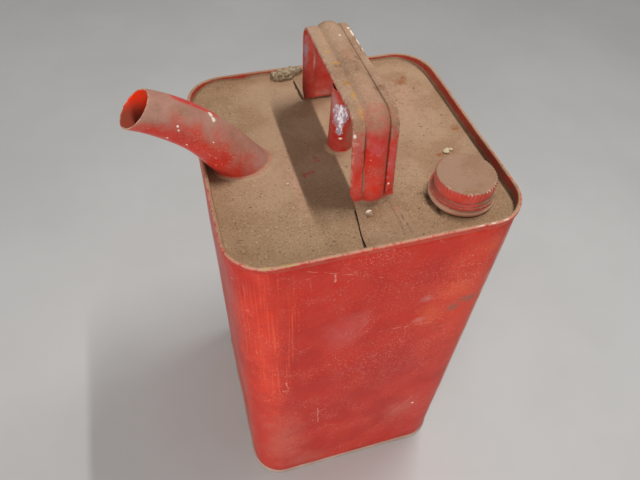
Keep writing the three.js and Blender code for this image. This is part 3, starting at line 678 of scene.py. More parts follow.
def make_cap(finish):
    bm = bmesh.new()
    wear_and_highlight, dirt_and_shade, dust = marks_on(bm, "wear_and_highlight", "dirt_and_shade", "dust")
    waist = [(WAIST_RADIUS, mix(WAIST_LOW, WAIST_HIGH, k / WAIST_STEPS)) for k in range(WAIST_STEPS + 1)]
    band = [(KNURL_RADIUS, mix(KNURL_LOW, KNURL_HIGH, k / KNURL_STEPS)) for k in range(KNURL_STEPS + 1)]
    profile = CAP_CURL + waist + SHOULDER + band + CAP_EDGE + CAP_INSIDE + CAP_CURL[:1]
    turn(bm, profile, CAP_SIDES, NECK_X, NECK_Y)
    for vertex in bm.verts:
        out, radius, height, angle = about(vertex, NECK_X, NECK_Y)
        to_right = smooth_step(math.cos(angle), -0.2, 0.9)
        to_left = smooth_step(-math.cos(angle), 0.3, 0.8)
        to_front = smooth_step(-math.sin(angle), -0.1, 0.6)
        if radius > BAND_INSIDE and BAND_LOW < height < BAND_HIGH:
            tooth = 0.5 + 0.5 * math.cos(KNURL_COUNT * angle)
            depth = KNURL_DEPTH * tooth * smooth_step(height, KNURL_LOW, KNURL_LOW + 3) * (1 - 0.6 * to_left)
            vertex.co += out * MM * depth * (1 - 0.7 * smooth_step(height, 16.7, 17.3))
            tip = tooth * smooth_step(height, mix(14, 11, to_right), 16.5)
            tip += 0.3 * smooth_step(height, 16.6, 17.2)
            vertex[wear_and_highlight] = tip * to_front * (1 - 0.5 * to_left)
            vertex[dirt_and_shade] = (1 - tooth) * smooth_step(height, 11.5, 13.5) * mix(0.1, 0.9, to_right)
            vertex[dust] = 0.5 * to_right * fade(height, 12, 15)
        elif radius > WAIST_INSIDE and height < KNURL_LOW:
            ridge = thread_ridge(angle, height, CAP_TURNS, CAP_RIDGE_HALF)
            vertex.co += out * MM * CAP_RIDGE * ridge * smooth_step(height, 6.6, 7.8)
            # The waist under the knurled band is darkened by dirt and by painted shade in its groove.
            vertex[dirt_and_shade] = 0.4 * (1 - ridge) * smooth_step(height, 7.3, 7.6) * fade(height, 7.9, 8.8)
            vertex[dust] = 1.2 * to_right - 0.3
            # A pale line along the curl's top: worn paint and a painted highlight.
            if radius > CURL_INSIDE:
                vertex[wear_and_highlight] = 0.9 * smooth_step(height, 6.3, 6.9) * fade(height, 7.1, 7.45)
        elif radius < FLAT_RADIUS and height > FLAT_LOW:
            vertex.co.z += 0.14 * MM * uneven(vertex.co, 7 * MM)
            vertex[wear_and_highlight] = 0.6 * to_front * smooth_step(radius, 16.8, 17.6)
    piece(bm, "cap", "cap", "dusty_enamel", finish, "screw_cap", crease=35)


# Loose and caked dirt: place and radius of each lump
CLUMP_LUMPS = [
    (-25, 88.4, 334.8, 3.4), (-21, 88.2, 335.1, 3.9), (-17, 88, 335.3, 4.1), (-13, 88.3, 335.7, 4.0),
    (-9, 88.8, 336.1, 3.2), (-5.5, 89.2, 336.4, 2.6), (-2.5, 89.4, 336.5, 2.2), (-24, 87, 332.4, 2.8),
    (-19.5, 86.6, 332.4, 3.2), (-15, 86.6, 332.4, 3.2),
]
CLUMP_GRAIN = 0.55


def make_clump(finish):
    """Caked earth over the rim at the back, next to the far foot of the handle."""
    bm = bmesh.new()
    for x, y, z, radius in CLUMP_LUMPS:
        lump(bm, radius, (1.15, 0.9, 0.8), at(x, y, z))
    clump = piece(bm, "earth_clump", "can", "dusty_enamel", finish, crease=180)
    fuse = clump.modifiers.new("fuse", "REMESH")
    fuse.mode = "VOXEL"
    fuse.voxel_size = CLUMP_GRAIN * MM
    seen = clump.evaluated_get(bpy.context.evaluated_depsgraph_get())
    fused = bpy.data.meshes.new_from_object(seen)
    clump.modifiers.remove(fuse)
    for vertex in fused.vertices:
        crumbs = 0.9 * uneven(vertex.co, 4.5 * MM) + 0.4 * uneven(vertex.co, 1.4 * MM)
        vertex.co += vertex.normal * MM * crumbs
    clump.data = fused
    fused.shade_smooth()


# Fittings that grains keep clear of: place and distance
FITTINGS = [(SPOUT_X, SPOUT_Y, 24), (VENT_X, VENT_Y, 12), (NECK_X, NECK_Y, 22.5)]
GRIT_COUNT = 420


def make_grit(finish):
    """Loose grains on the top plate, thickest at the front and round the filler neck."""
    draw = random.Random(SEED)
    bm = bmesh.new()
    placed = 0
    while placed < GRIT_COUNT:
        x = draw.uniform(-87, 87)
        y = draw.uniform(-86, 78)
        size = draw.uniform(0.25, 0.55) * (1.7 if draw.random() < 0.06 else 1)
        corner = math.hypot(max(abs(x) - 62, 0), max(abs(y) - 60, 0)) > 24
        taken = any(math.hypot(x - fx, y - fy) < gap for fx, fy, gap in FITTINGS)
        under_foot = -13 < x < 22 and (y < -44 or y > 50)
        if corner or taken or under_foot or draw.random() < 0.35 * smooth_step(y, -60, 80):
            continue
        squash = (draw.uniform(0.8, 1.3), draw.uniform(0.7, 1.1), draw.uniform(0.5, 0.9))
        place = at(x, y, PLATE + plate_offset(x, y) + 0.25 * size)
        lump(bm, size, squash, place, rounds=1, heading=draw.uniform(0, 6.3))
        placed += 1
    piece(bm, "grit", "can", "dusty_enamel", finish, crease=180)


# Stones on the plate: place and radius
STONES = [(67.6, -18.2, 2.3), (71.6, -17.0, 1.4), (69.6, -16.6, 0.9), (-43, -22, 0.8)]


def make_stones(finish):
    bm = bmesh.new()
    for x, y, size in STONES:
        roughen(lump(bm, size, (1.1, 0.9, 0.55), at(x, y, PLATE + 0.3 * size)), 0.35 * size, 1.6 * size)
    piece(bm, "stones", "can", "dusty_enamel", finish, crease=180)


# Materials
def linear(hex_colour):
    """Linear colour of an sRGB hex value."""
    parts = [int(hex_colour[i:i + 2], 16) / 255 for i in (1, 3, 5)]
    return [*((p / 12.92 if p <= 0.04045 else ((p + 0.055) / 1.055) ** 2.4) for p in parts), 1.0]


def per(size):
    """Scale of a pattern whose features are this many millimetres apart."""
    return 1 / (size * MM)


def add(tree, kind, inputs, output=0, **settings):
    """Adds a node with its settings, sets or links its inputs (a hex value is a colour), gives one output."""
    made = tree.nodes.new("ShaderNode" + kind)
    for key, value in settings.items():
        setattr(made, key, value)
    for socket, value in inputs.items():
        if isinstance(value, bpy.types.NodeSocket):
            tree.links.new(value, made.inputs[socket])
        else:
            made.inputs[socket].default_value = linear(value) if isinstance(value, str) else value
    return made.outputs[output] if made.outputs else None


def coat(tree, below, above, share, *masks):
    """Lays one colour over another by a share, where all the masks meet."""
    for mask in masks:
        share = add(tree, "Math", {0: mask, 1: share}, operation="MULTIPLY")
    return add(tree, "Mix", {0: share, 6: below, 7: above}, 2, data_type="RGBA")


def cloud(tree, where, size, low, high, stretch=(1, 1, 1)):
    """Mask of soft patches about a size across: none below one level of the noise, full above another."""
    drawn = add(tree, "Mapping", {"Vector": where, "Scale": [1 / s for s in stretch]})
    rough = add(tree, "TexNoise", {"Vector": drawn, "Scale": per(size), "Detail": 4.0, "Roughness": 0.62})
    return add(tree, "MapRange", {"Value": rough, "From Min": low, "From Max": high},
               interpolation_type="SMOOTHSTEP")


def blotch(tree, where, places, grain=2.5, edge=0.6):
    """Mask of ragged spots: each place with its radius, or its radii along the three axes."""
    ragged = add(tree, "TexNoise", {"Vector": where, "Scale": per(grain), "Detail": 5.0, "Roughness": 0.65},
                 "Color")
    pull = add(tree, "VectorMath", {0: ragged, 1: [1.5] * 3, 2: [-0.75] * 3}, operation="MULTIPLY_ADD")
    whole = 0.0
    for x, y, z, radius in places:
        radii = [r * MM for r in (radius if isinstance(radius, tuple) else [radius] * 3)]
        off = add(tree, "VectorMath", {0: where, 1: at(x, y, z)}, operation="SUBTRACT")
        even = add(tree, "VectorMath", {0: off, 1: radii}, operation="DIVIDE")
        moved = add(tree, "VectorMath", {0: even, 1: pull}, operation="ADD")
        gap = add(tree, "VectorMath", {0: moved}, "Value", operation="LENGTH")
        spot = add(tree, "MapRange", {"Value": gap, "From Min": 1.0, "From Max": edge},
                   interpolation_type="SMOOTHSTEP")
        whole = add(tree, "Math", {0: whole, 1: spot}, operation="MAXIMUM")
    return whole


def swayed(tree, where, size, swing, detail):
    """Places moved to and fro, by up to a swing in millimetres, over about a size."""
    sway = add(tree, "TexNoise", {"Vector": where, "Scale": per(size), "Detail": detail}, "Color")
    return add(tree, "VectorMath", {0: sway, 1: [swing * MM] * 3, 2: where}, operation="MULTIPLY_ADD")


HAIR_SWING = 2.4


def hairline(tree, where, lines):
    """Mask of wavering lines: each with its two ends and its width."""
    moved = swayed(tree, where, 7, HAIR_SWING, 3.0)
    whole = 0.0
    for begin, end, width in lines:
        first = at(*begin) + Vector([HAIR_SWING / 2 * MM] * 3)
        run = at(*end) - at(*begin)
        off = add(tree, "VectorMath", {0: moved, 1: first}, operation="SUBTRACT")
        along = add(tree, "VectorMath", {0: off, 1: run}, "Value", operation="DOT_PRODUCT")
        share = add(tree, "MapRange", {"Value": along, "From Max": run.length_squared})
        nearest = add(tree, "VectorMath", {0: run, "Scale": share}, operation="SCALE")
        gap = add(tree, "VectorMath", {0: off, 1: nearest}, "Value", operation="DISTANCE")
        line = add(tree, "MapRange", {
            "Value": gap, "From Min": 0.65 * width * MM, "From Max": 0.3 * width * MM})
        whole = add(tree, "Math", {0: whole, 1: line}, operation="MAXIMUM")
    return whole


def crackle(tree, where, size, width):
    """Mask of thin wandering scratches that cross about a size apart."""
    moved = swayed(tree, where, 0.5 * size, 0.5 * size, 4.0)
    edge = add(tree, "TexVoronoi", {"Vector": moved, "Scale": per(size)}, "Distance",
               feature="DISTANCE_TO_EDGE")
    return add(tree, "MapRange", {
        "Value": edge, "From Min": 0.5 * width / size, "From Max": 0.2 * width / size})


def enamel_colour(tree, where, look):
    """Old red enamel: uneven depth of colour, chalky clouds, stains and painted sheen, clustered pale specks,
    dark specks.
    """
    deep, bright, chalk = look["red"]
    colour = coat(tree, deep, bright, 1, cloud(tree, where, 50, 0.36, 0.62))
    colour = coat(tree, colour, chalk, 0.25, cloud(tree, where, 17, 0.5, 0.85))
    for tint, share, places in look["stains_and_painted_sheen"]:
        colour = coat(tree, colour, tint, share, blotch(tree, where, places, 14, 0.0))
    thick = cloud(tree, where, 24, 0.42, 0.66)
    if "speckled" in look:
        crowded = blotch(tree, where, look["speckled"], 9, 0.1)
        thick = add(tree, "Math", {0: thick, 1: crowded}, operation="MAXIMUM")
    # Specks are a few tenths of a millimetre, drawn over a millimetre wide to show
    colour = coat(tree, colour, "#d98e7c", look["specks"], cloud(tree, where, 1.2, 0.55, 0.68), thick)
    return coat(tree, colour, "#7f2c20", look["specks"], cloud(tree, where, 1.8, 0.42, 0.28))


def dust_colour(tree, where, look, grit):
    """Caked road dust: drifts of two browns, with dark and pale grains drawn over 1 mm wide to show."""
    tan, brown, grainy = look["dust_tints"]
    colour = coat(tree, brown, tan, 1, cloud(tree, where, 28, 0.36, 0.62))
    colour = coat(tree, colour, "#8b7352", 0.45, grit)
    coarse = add(tree, "Math", {0: grit, 1: grainy}, operation="ADD", use_clamp=True)
    colour = coat(tree, colour, "#5f4d36", 0.6, cloud(tree, where, 1.2, 0.5, 0.3), coarse)
    return coat(tree, colour, "#cdb392", 0.6, cloud(tree, where, 1.5, 0.58, 0.72), coarse)


def new_material(name):
    """Empty material, its node tree and the place of each point on the piece."""
    finish = bpy.data.materials.new(name)
    finish.use_nodes = True
    finish.node_tree.nodes.clear()
    return finish, finish.node_tree, add(finish.node_tree, "TexCoord", {}, "Object")


# What a look has unless it says otherwise: dust gives the levels between which dust covers the paint
PLAIN_LOOK = {
    "red": ("#b11e13", "#bf2817", "#c04a37"), "specks": 0.5, "gloss": 0.45, "sheen": 0.1,
    "film": 0.15, "film_tint": "#b58d7a",
    "level": 1.0, "dust_share": 0.97, "dust_tints": ("#a88b6f", "#98795d", 0.35),
    "dirt_and_shade_tint": "#331f15", "dirt_and_shade_share": 0.8, "nicks": (0.6, 0.85), "worn": ("#cfa793", 0.8),
    "stains_and_painted_sheen": [], "marks": [], "chips": [],
}


def weathered(name, own_look):
    """Old red enamel under dust; the look gives its reds, stains and painted sheen, film, dust, marks and
    gloss.
    """
    look = {**PLAIN_LOOK, **own_look}
    finish, tree, where = new_material(name)
    normal = add(tree, "TexCoord", {}, "Normal")
    on_piece = {kind: add(tree, "Attribute", {}, "Fac", attribute_name=kind)
                for kind in ("wear_and_highlight", "dirt_and_shade", "rust", "dust", "clean", "grit", "inside")}
    colour = enamel_colour(tree, where, look)
    if "streaks" in look:
        share, places = look["streaks"]
        runs = cloud(tree, where, 1.4, 0.5, 0.7, (1, 1, 60))
        colour = coat(tree, colour, "#ee5c3a", share, runs, blotch(tree, where, places))
    if "scratches" in look:
        hairs = crackle(tree, where, 24, 0.5)
        colour = coat(tree, colour, "#d67a66", 0.45, hairs, cloud(tree, where, 14, 0.52, 0.64))
        colour = coat(tree, colour, "#dc9c88", 0.6, hairline(tree, where, look["scratches"]))
    colour = coat(tree, colour, "#f23408", 1, on_piece["inside"])

    # Thin dust: a mist all over, and more on the sides of the body
    colour = coat(tree, colour, look["film_tint"], look["film"], cloud(tree, where, 13, 0.3, 0.78))
    if "side_film" in look:
        across = add(tree, "SeparateXYZ", {0: normal}, "X")
        sideways = add(tree, "Math", {0: across}, operation="ABSOLUTE")
        on_side = add(tree, "MapRange", {"Value": sideways, "From Min": 0.8, "From Max": 1.0})
        patchy = cloud(tree, where, 30, 0.25, 0.7, (1, 1, 1.8))
        colour = coat(tree, colour, "#b0756a", look["side_film"], on_side, patchy)

    # Caked dust lies where the surface faces up and where the piece says, less where it is rubbed clean
    wander = add(tree, "MapRange", {
        "Value": cloud(tree, where, 9, 0.2, 0.8), "To Min": -0.28, "To Max": 0.28})
    upward = add(tree, "SeparateXYZ", {0: normal}, "Z")
    settle = add(tree, "Math", {0: upward, 1: look["level"], 2: wander}, operation="MULTIPLY_ADD")
    settle = add(tree, "Math", {0: settle, 1: on_piece["dust"]}, operation="ADD")
    settle = add(tree, "Math", {0: settle, 1: on_piece["clean"]}, operation="SUBTRACT")
    if "bare" in look:
        streaky = cloud(tree, where, 3, 0.1, 0.55, (2.5, 1, 1))
        swept = add(tree, "Math", {0: blotch(tree, where, look["bare"], 6, 0.0), 1: streaky},
                    operation="MULTIPLY")
        settle = add(tree, "Math", {0: swept, 1: -0.7, 2: settle}, operation="MULTIPLY_ADD")
    low, high = look["dust"]
    cover = add(tree, "MapRange", {
        "Value": settle, "From Min": low, "From Max": high, "To Max": look["dust_share"]},
        interpolation_type="SMOOTHSTEP")
    colour = coat(tree, colour, dust_colour(tree, where, look, on_piece["grit"]), 1, cover)

    # Marks in and over the dust, some of them painted shadows and highlights, then the wear with its painted
    # highlights
    colour = coat(tree, colour, "#a5702f", 0.8, on_piece["rust"], cloud(tree, where, 4, 0.4, 0.6))
    for tint, share, places in look["marks"]:
        broken = cloud(tree, where, 3.5, 0.3, 0.56)
        colour = coat(tree, colour, tint, share, blotch(tree, where, places, 2.5, 0.1), broken)
    # Dark lines by the handle's feet: cracks in the dust and painted shadow of the feet's raised edges
    if "cracks_and_edge_shadows" in look:
        colour = coat(tree, colour, "#2c2014", 0.9, hairline(tree, where, look["cracks_and_edge_shadows"]))
    # Dark dirt, with painted shade where the piece marks it
    colour = coat(tree, colour, look["dirt_and_shade_tint"], look["dirt_and_shade_share"], on_piece["dirt_and_shade"])
    tips = add(tree, "Math", {0: on_piece["wear_and_highlight"], 1: 0.3, 2: cloud(tree, where, 3, 0.3, 0.75)},
               operation="MULTIPLY_ADD")
    first, full = look["nicks"]
    nicks = add(tree, "MapRange", {"Value": tips, "From Min": first, "From Max": full})
    worn_tint, worn_share = look["worn"]
    colour = coat(tree, colour, worn_tint, worn_share, nicks, on_piece["wear_and_highlight"])
    for tint, places in look["chips"]:
        colour = coat(tree, colour, tint, 1, blotch(tree, where, places, 1.2))
    if "scuff" in look:
        scuffed = blotch(tree, where, look["scuff"], 3)
        colour = coat(tree, colour, "#a898a4", 0.95, scuffed)
        bright = cloud(tree, where, 2.4, 0.47, 0.58, (1, 1, 2.2))
        colour = coat(tree, colour, "#f2edee", 1, bright, scuffed)
        dark = cloud(tree, where, 1.8, 0.6, 0.7, (1.6, 1.6, 1))
        colour = coat(tree, colour, "#54444f", 0.7, dark, scuffed)

    dull = add(tree, "Math", {0: cover, 1: on_piece["dirt_and_shade"]}, operation="MAXIMUM")
    rough = add(tree, "Mix", {0: dull, 2: look["gloss"], 3: 0.95}, data_type="FLOAT")
    grains = add(tree, "TexNoise", {"Vector": where, "Scale": per(1.2), "Detail": 3.0, "Roughness": 0.7})
    raised = add(tree, "Math", {0: grains, 1: cover}, operation="MULTIPLY")
    bump = add(tree, "Bump", {"Height": raised, "Distance": 0.5 * MM, "Strength": 0.8})
    shader = add(tree, "BsdfPrincipled", {
        "Base Color": colour, "Roughness": rough, "Normal": bump, "IOR": 1.5, "Specular IOR Level": 0.25,
        "Sheen Weight": look["sheen"], "Sheen Tint": "#dcc0ab"})
    add(tree, "OutputMaterial", {"Surface": shader})
    return finish


def mottled(name, tint, dark, roughness, size, chips=()):
    """Even material of small or hidden pieces, mottled at a size, with pale chips if given."""
    finish, tree, where = new_material(name)
    patches = cloud(tree, where, size, 0.35, 0.65)
    colour = coat(tree, dark, tint, 1, patches)
    if chips:
        colour = coat(tree, colour, "#efe6d8", 1, blotch(tree, where, chips))
    bump = add(tree, "Bump", {"Height": patches, "Distance": 0.3 * MM, "Strength": 0.6})
    shader = add(tree, "BsdfPrincipled", {"Base Color": colour, "Roughness": roughness, "Normal": bump})
    add(tree, "OutputMaterial", {"Surface": shader})
    return finish


# Places of marks: the front face, the top of the grip, the strap's foot and the cap's flat top
FRONT = -90.5
GRIP = PLATE + 62.5
FOOT = PLATE + 1.4
CAP_TOP = PLATE + 17.4

# Enamel on tinplate: a half-gloss red, brighter where hands rub it, chalky and specked low down, with painted
# sheen down two corners
BODY_LOOK = {
    "dust": (1.1, 1.5), "gloss": 0.5, "film": 0.05, "side_film": 0.45, "sheen": 0.02, "specks": 0.75,
    "dust_tints": ("#b89e8e", "#a88c7c", 0.2),
    "stains_and_painted_sheen": [
        ("#d83c24", 0.8, [(-76, FRONT, 235, (20, 40, 150))]),
        ("#c25a55", 0.5, [(-23, FRONT, 250, (24, 12, 32)), (-8, FRONT, 258, (8, 8, 22))]),
        ("#dc4a2e", 0.6, [(66, FRONT, 250, (44, 20, 130))]),
        ("#db5a34", 0.5, [
            (40, FRONT, 248, (14, 8, 17)), (55, FRONT, 276, (16, 8, 24)), (70, FRONT, 318, (14, 8, 16))]),
        ("#c98a86", 0.4, [(34.5, FRONT, 270, (9, 8, 6)), (33, FRONT, 244, (8, 8, 5))]),
        ("#75584a", 0.7, [(68, FRONT, 257, (13, 8, 8)), (58, FRONT, 250, (8, 8, 7))]),
        # Painted sheen: pale bands down the two corners seen edge-on.
        ("#d9bfa9", 0.8, [(83, -83.5, 190, (8, 8, 240))]),
        ("#cfae98", 0.4, [(-92, 58, 180, (6, 22, 220))]),
        ("#c9705f", 0.35, [
            (-66, FRONT, 80, (30, 20, 90)), (-50, FRONT, 22, (44, 20, 26)), (44, FRONT, 86, (24, 10, 30)),
            (92, 10, 70, (20, 50, 60)), (-92, 20, 50, (20, 60, 50)), (10, 92, 60, (60, 20, 50))]),
    ],
    "speckled": [
        (-62, FRONT, 80, (28, 20, 80)), (-30, FRONT, 120, (20, 10, 20)), (40, FRONT, 60, (30, 10, 40)),
        (20, FRONT, 290, (60, 10, 34)), (58, FRONT, 290, (40, 10, 50)), (10, FRONT, 200, (70, 10, 60)),
    ],
    "streaks": (0.65, [(-74, FRONT, 262, (26, 40, 95))]),
    "scratches": [
        ((-77, FRONT, 280), (-78, FRONT, 262), 1.0), ((-63, FRONT, 198), (-61, FRONT, 187), 1.0),
        ((-66, FRONT, 186), (-61, FRONT, 184), 1.0), ((-72, FRONT, 222), (-70, FRONT, 213), 0.8),
        ((-37, FRONT, 136), (-36, FRONT, 106), 0.8), ((-44, FRONT, 128), (-30, FRONT, 131), 0.7),
        ((-32, FRONT, 319), (-31.5, FRONT, 312), 1.2), ((-54, FRONT, 331), (1, FRONT, 305), 0.5),
        ((-13, FRONT, 268), (-3, FRONT, 238), 0.6), ((-4, FRONT, 241), (48, FRONT, 237), 0.5),
        ((24, FRONT, 60), (52, FRONT, 108), 0.6), ((30, FRONT, 72), (58, FRONT, 90), 0.5),
    ],
    "chips": [("#ead9ca", [
        (54.6, FRONT, 92, 1.5), (-88.2, -74.8, 316, 1.2), (-90.5, -62, 262, (1, 1.2, 2)),
        (-90.5, -58, 290, (1, 1, 5))])],
}
# Caked dust on the top plate: matt tan, pinker at the back, olive and gritty at the front; red at the rim
# with painted shade down its inner wall; dark lines by the handle's feet that are cracks in the dust and
# painted shadow
TOP_LOOK = {
    "level": 0.0, "dust": (0.3, 0.72), "gloss": 0.5, "film": 0.4, "film_tint": "#a07058",
    "worn": ("#c08c76", 0.9), "nicks": (0.25, 0.65),
    "bare": [(-22, -3.4, PLATE, (11, 6, 5)), (-27, -16, PLATE, (10, 5, 5))],
    "marks": [
        ("#b9907a", 0.5, [(55, 45, PLATE, (34, 38, 6)), (-38, -25, PLATE, (6, 40, 6))]),
        ("#8a4d26", 0.9, [
            (62.2, -20, PLATE, (3.8, 2.8, 3)), (66.8, 64.5, PLATE, 6.5), (71, 69, PLATE, 4),
            (84.4, 3.5, PLATE, 4.6), (37.2, 67.6, PLATE, 3.6)]),
        ("#57432d", 0.6, [(-69.3, 84, PLATE + 3, 3)]),
        ("#33271a", 0.9, [
            (38, -56, PLATE, (4.4, 11, 4)), (40.5, -67, PLATE, (4, 7, 4)), (35, -50.5, PLATE, (2.4, 2, 3))]),
        ("#b08a44", 0.6, [
            (-71.8, -89.2, CROWN, 3.4), (-78.7, -83.2, CROWN, 2.4), (-62, -90.4, CROWN, (6, 1.6, 2))]),
    ],
    # Cracks in the dust and painted shadow along the feet's left edges
    "cracks_and_edge_shadows": [
        ((-8.9, -55, PLATE), (-12.7, -83, PLATE), 1.5), ((-12.2, 85, PLATE), (-11.4, 61.5, PLATE), 1.6),
    ],
    "chips": [
        ("#b39468", [
            (-71.8, -89.6, CROWN, (6, 1, 0.8)), (-80, -83.4, CROWN, (2.5, 2.5, 0.8)),
            (-58, -91, CROWN, (6, 0.6, 0.8))]),
        ("#dcb9a8", [
            (72.5, -90.4, CROWN, (3.4, 1, 1)), (63, -91, CROWN, (3, 0.7, 0.7)),
            (55, -91, CROWN, (3, 0.6, 0.6))]),
    ],
}
# Enamel on the steel strap: dusty on top, pink where the dust thins, glossy red where sleeves polish the
# legs; a painted highlight on the far leg and a painted shadow under the near rivet
STRAP_LOOK = {
    "dust": (0.1, 0.95), "gloss": 0.3, "film": 0.32, "film_tint": "#c08a7c", "worn": ("#c99683", 0.7),
    "dust_tints": ("#a0846b", "#8a6c54", 0.8),
    "marks": [
        ("#a35847", 0.75, [(3, -42, GRIP - 3, (15, 14, 12))]),
        ("#d32e1e", 0.8, [(3, -54, 346, (10, 5, 15)), (-8, -53, 348, (4, 5, 16))]),
        ("#b9585a", 0.6, [(3, -50, 372, (8, 5, 8)), (13, -50, 362, (3, 5, 22)), (-8, -49, 370, (4, 4, 8))]),
        ("#a4705a", 0.4, [(2, -24, GRIP + 2, (12, 22, 6)), (4, 12, GRIP + 2, (8, 12, 4))]),
        ("#b5832a", 1.0, [
            (-5.4, 7.8, GRIP, (3.4, 3.4, 3)), (-6, -13.2, GRIP, (3, 3.6, 3)),
            (-5.4, -26, GRIP, (2.4, 5.5, 3)), (-6, -38, GRIP - 3, (2, 7, 6)), (-7.4, 20, GRIP, (2, 2, 3))]),
        ("#6b4a2c", 0.95, [
            (-5.5, 4.6, GRIP, (3.4, 3, 3)), (2.8, 3.1, GRIP + 1, (5, 2.4, 4)), (8.3, 9.3, GRIP, (3.4, 3, 4)),
            (13.6, 18.7, GRIP, (1.6, 4, 3)), (8.6, -22, GRIP, (2.4, 3, 3)), (12.6, -21.5, GRIP, (2.4, 4, 3)),
            (-5.4, -13, GRIP, (2.4, 2, 3)), (4, -5, GRIP + 1, (3, 2, 4))]),
        ("#9a92a0", 0.9, [(-10, 57.5, 370, (2.5, 3, 16))]),
        # Painted highlight: the salmon-white streak down the far leg's inner face
        ("#e4b0a4", 1.0, [(-3, 57.5, 363, (2.2, 3, 11))]),
        ("#a5653c", 0.6, [(3, -59, FOOT, (3, 2.4, 2))]),
        ("#b3705c", 0.6, [(15, -61, FOOT, (3, 4, 2)), (-7, -49, PLATE + 3, (5, 5, 4))]),
        # Painted shadow: the dark crescent under the near rivet's head
        ("#33261a", 0.75, [(-3.8, -62.4, FOOT, (1.5, 1.1, 1))]),
        ("#5e4630", 0.75, [(16.2, -67, FOOT, (1.3, 5, 2)), (17, -76, FOOT, (1.3, 6, 2))]),
        ("#d08a7c", 0.7, [
            (1, -49, 368, (4.5, 3, 1.2)), (5.5, -48.5, 372, (0.9, 3, 3)), (-10, -47.5, 376, (3, 3, 2))]),
    ],
    "chips": [("#e2d3c4", [
        (11.6, -52, 345, 1.0), (4.8, 33, GRIP + 2.5, (1.4, 0.9, 2)), (13.5, 43, GRIP, (1.2, 1.2, 2)),
        (14.2, 37.5, GRIP, (0.8, 4.5, 2)), (14.6, 27, GRIP - 0.5, (0.6, 4.5, 2)),
        (14.7, 18.5, GRIP - 1, (0.5, 2.6, 2)), (-11, -47, 381, (1, 1.4, 1.4)), (-1, -50, 365, 0.6)])],
}
# Enamel on the spout: a mauve veil of dust over red, rubbed bright along its back, orange inside
SPOUT_LOOK = {
    "dust": (-0.2, 0.7), "dust_share": 0.8, "gloss": 0.32, "worn": ("#bf9a82", 0.9),
    "dust_tints": ("#9c8271", "#8d6f5c", 0.25), "dirt_and_shade_tint": "#54301f", "specks": 0.7,
    "speckled": [(-100, -12, 365, (30, 8, 16)), (-80, -10, 348, (16, 8, 16)), (-118, -11, 374, (14, 8, 9))],
    "marks": [("#75563c", 0.45, [
        (-97, -7.7, 383.5, (9, 5, 4)), (-72, -3.3, 360, (5, 4, 5)), (-111, -9, 390, (4, 6, 6))])],
    "chips": [("#e2d2c0", [
        (-82.2, 0.6, 373.7, (2.4, 2.4, 1.6)), (-81.3, -2.4, 372, (2, 2.2, 1.6)), (-101.8, -12.6, 378.8, 0.8),
        (-101.8, -13, 376.2, 0.7), (-108.7, -12, 371.7, 0.8), (-99.1, -11.4, 364.1, 0.7),
        (-83.8, -11.1, 362.4, 0.6)])],
}
# Solder beads under red paint, nearly lost in dust
SOLDER_LOOK = {"dust": (-0.1, 1.3), "film": 0.3}
# Enamel on the vent, scuffed through to silvery tin
VENT_LOOK = {
    "dust": (0.6, 1.0), "gloss": 0.4, "film": 0.3,
    "scuff": [(-3.4, -1.5, 359, (6, 6, 10)), (-4, -2, 348, (3, 3.4, 4.4))],
    "stains_and_painted_sheen": [("#b08a86", 0.9, [(-8, 3, 366, (6, 6, 18))]), ("#94634e", 0.85, [(4, -2, 344, (5, 6, 18))])],
    "chips": [("#efe4d8", [(-2.8, -2.4, 342, (1.6, 1.6, 1.0))])],
}
# Enamel on the neck's collar: pinkish with dust, black with grime and painted contact shade at its foot
NECK_LOOK = {"dust": (-1.2, 0.2), "dust_share": 0.85, "film": 0.3, "dust_tints": ("#efc4a4", "#dfb092", 0.2)}
# Enamel on the pressed cap: brown dust on its flat top, red flutes rubbed pale at their tips, a darkened
# waist, and a pale curl top that is worn paint and painted highlight
CAP_LOOK = {
    "red": ("#bb3529", "#c63e30", "#cc6655"), "dust": (0.35, 0.85), "worn": ("#d0a08f", 0.6),
    "dust_tints": ("#967761", "#896850", 0.25), "film": 0.4, "film_tint": "#c68f80", "dirt_and_shade_share": 0.6,
    "marks": [("#93602c", 0.75, [
        (58.1, -72, CAP_TOP, (3.4, 1.8, 2)), (46.4, -67.4, CAP_TOP, (1.6, 1.4, 2)),
        (52, -71.4, CAP_TOP, (2.4, 1.2, 2))])],
}
# Bright bare steel where the near rivet's dust is rubbed off
RIVET_CHIPS = [(-2.9, -58.6, PLATE + 3, 2.0), (-1.2, -59.2, PLATE + 3.4, 1.3)]

body_enamel = weathered("red_enamel_on_tinplate", BODY_LOOK)
solder = weathered("dusty_painted_solder", SOLDER_LOOK)
# Sealing compound and rubber: nearly black, with a dull even face
compound = mottled("black_sealing_compound", "#2c2a27", "#1d1b19", 0.8, 3)
rubber = mottled("nitrile_rubber", "#3c342c", "#2a241f", 0.8, 2)

make_wall(body_enamel)
make_top(weathered("red_enamel_under_caked_dust", TOP_LOOK))
make_bottom(body_enamel)
make_strap(weathered("red_enamel_on_strap_steel", STRAP_LOOK))
# Rivet steel: tan with dust and matt all over, with pale chips
make_rivets(mottled("dusty_rivet_steel", "#ac8c70", "#8d6c54", 0.9, 3, RIVET_CHIPS))
make_spout(weathered("red_enamel_on_spout", SPOUT_LOOK))
make_spout_fillet(solder)
make_vent(weathered("red_enamel_scuffed_to_tin", VENT_LOOK))
make_vent_fillet(solder)
make_neck(weathered("red_enamel_on_neck", NECK_LOOK))
make_cap(weathered("red_enamel_on_pressed_cap", CAP_LOOK))
# Dried earth crumbles to a matt brown, loose grains run from dark to tan, and pebbles are pale and smooth
make_clump(mottled("dried_earth", "#a8957a", "#77654c", 0.95, 1.6))
make_grit(mottled("loose_grains", "#b39a7a", "#6e5a40", 0.9, 2.5))
make_stones(mottled("pale_pebble", "#d6c5a4", "#c0ad8a", 0.85, 1.2))

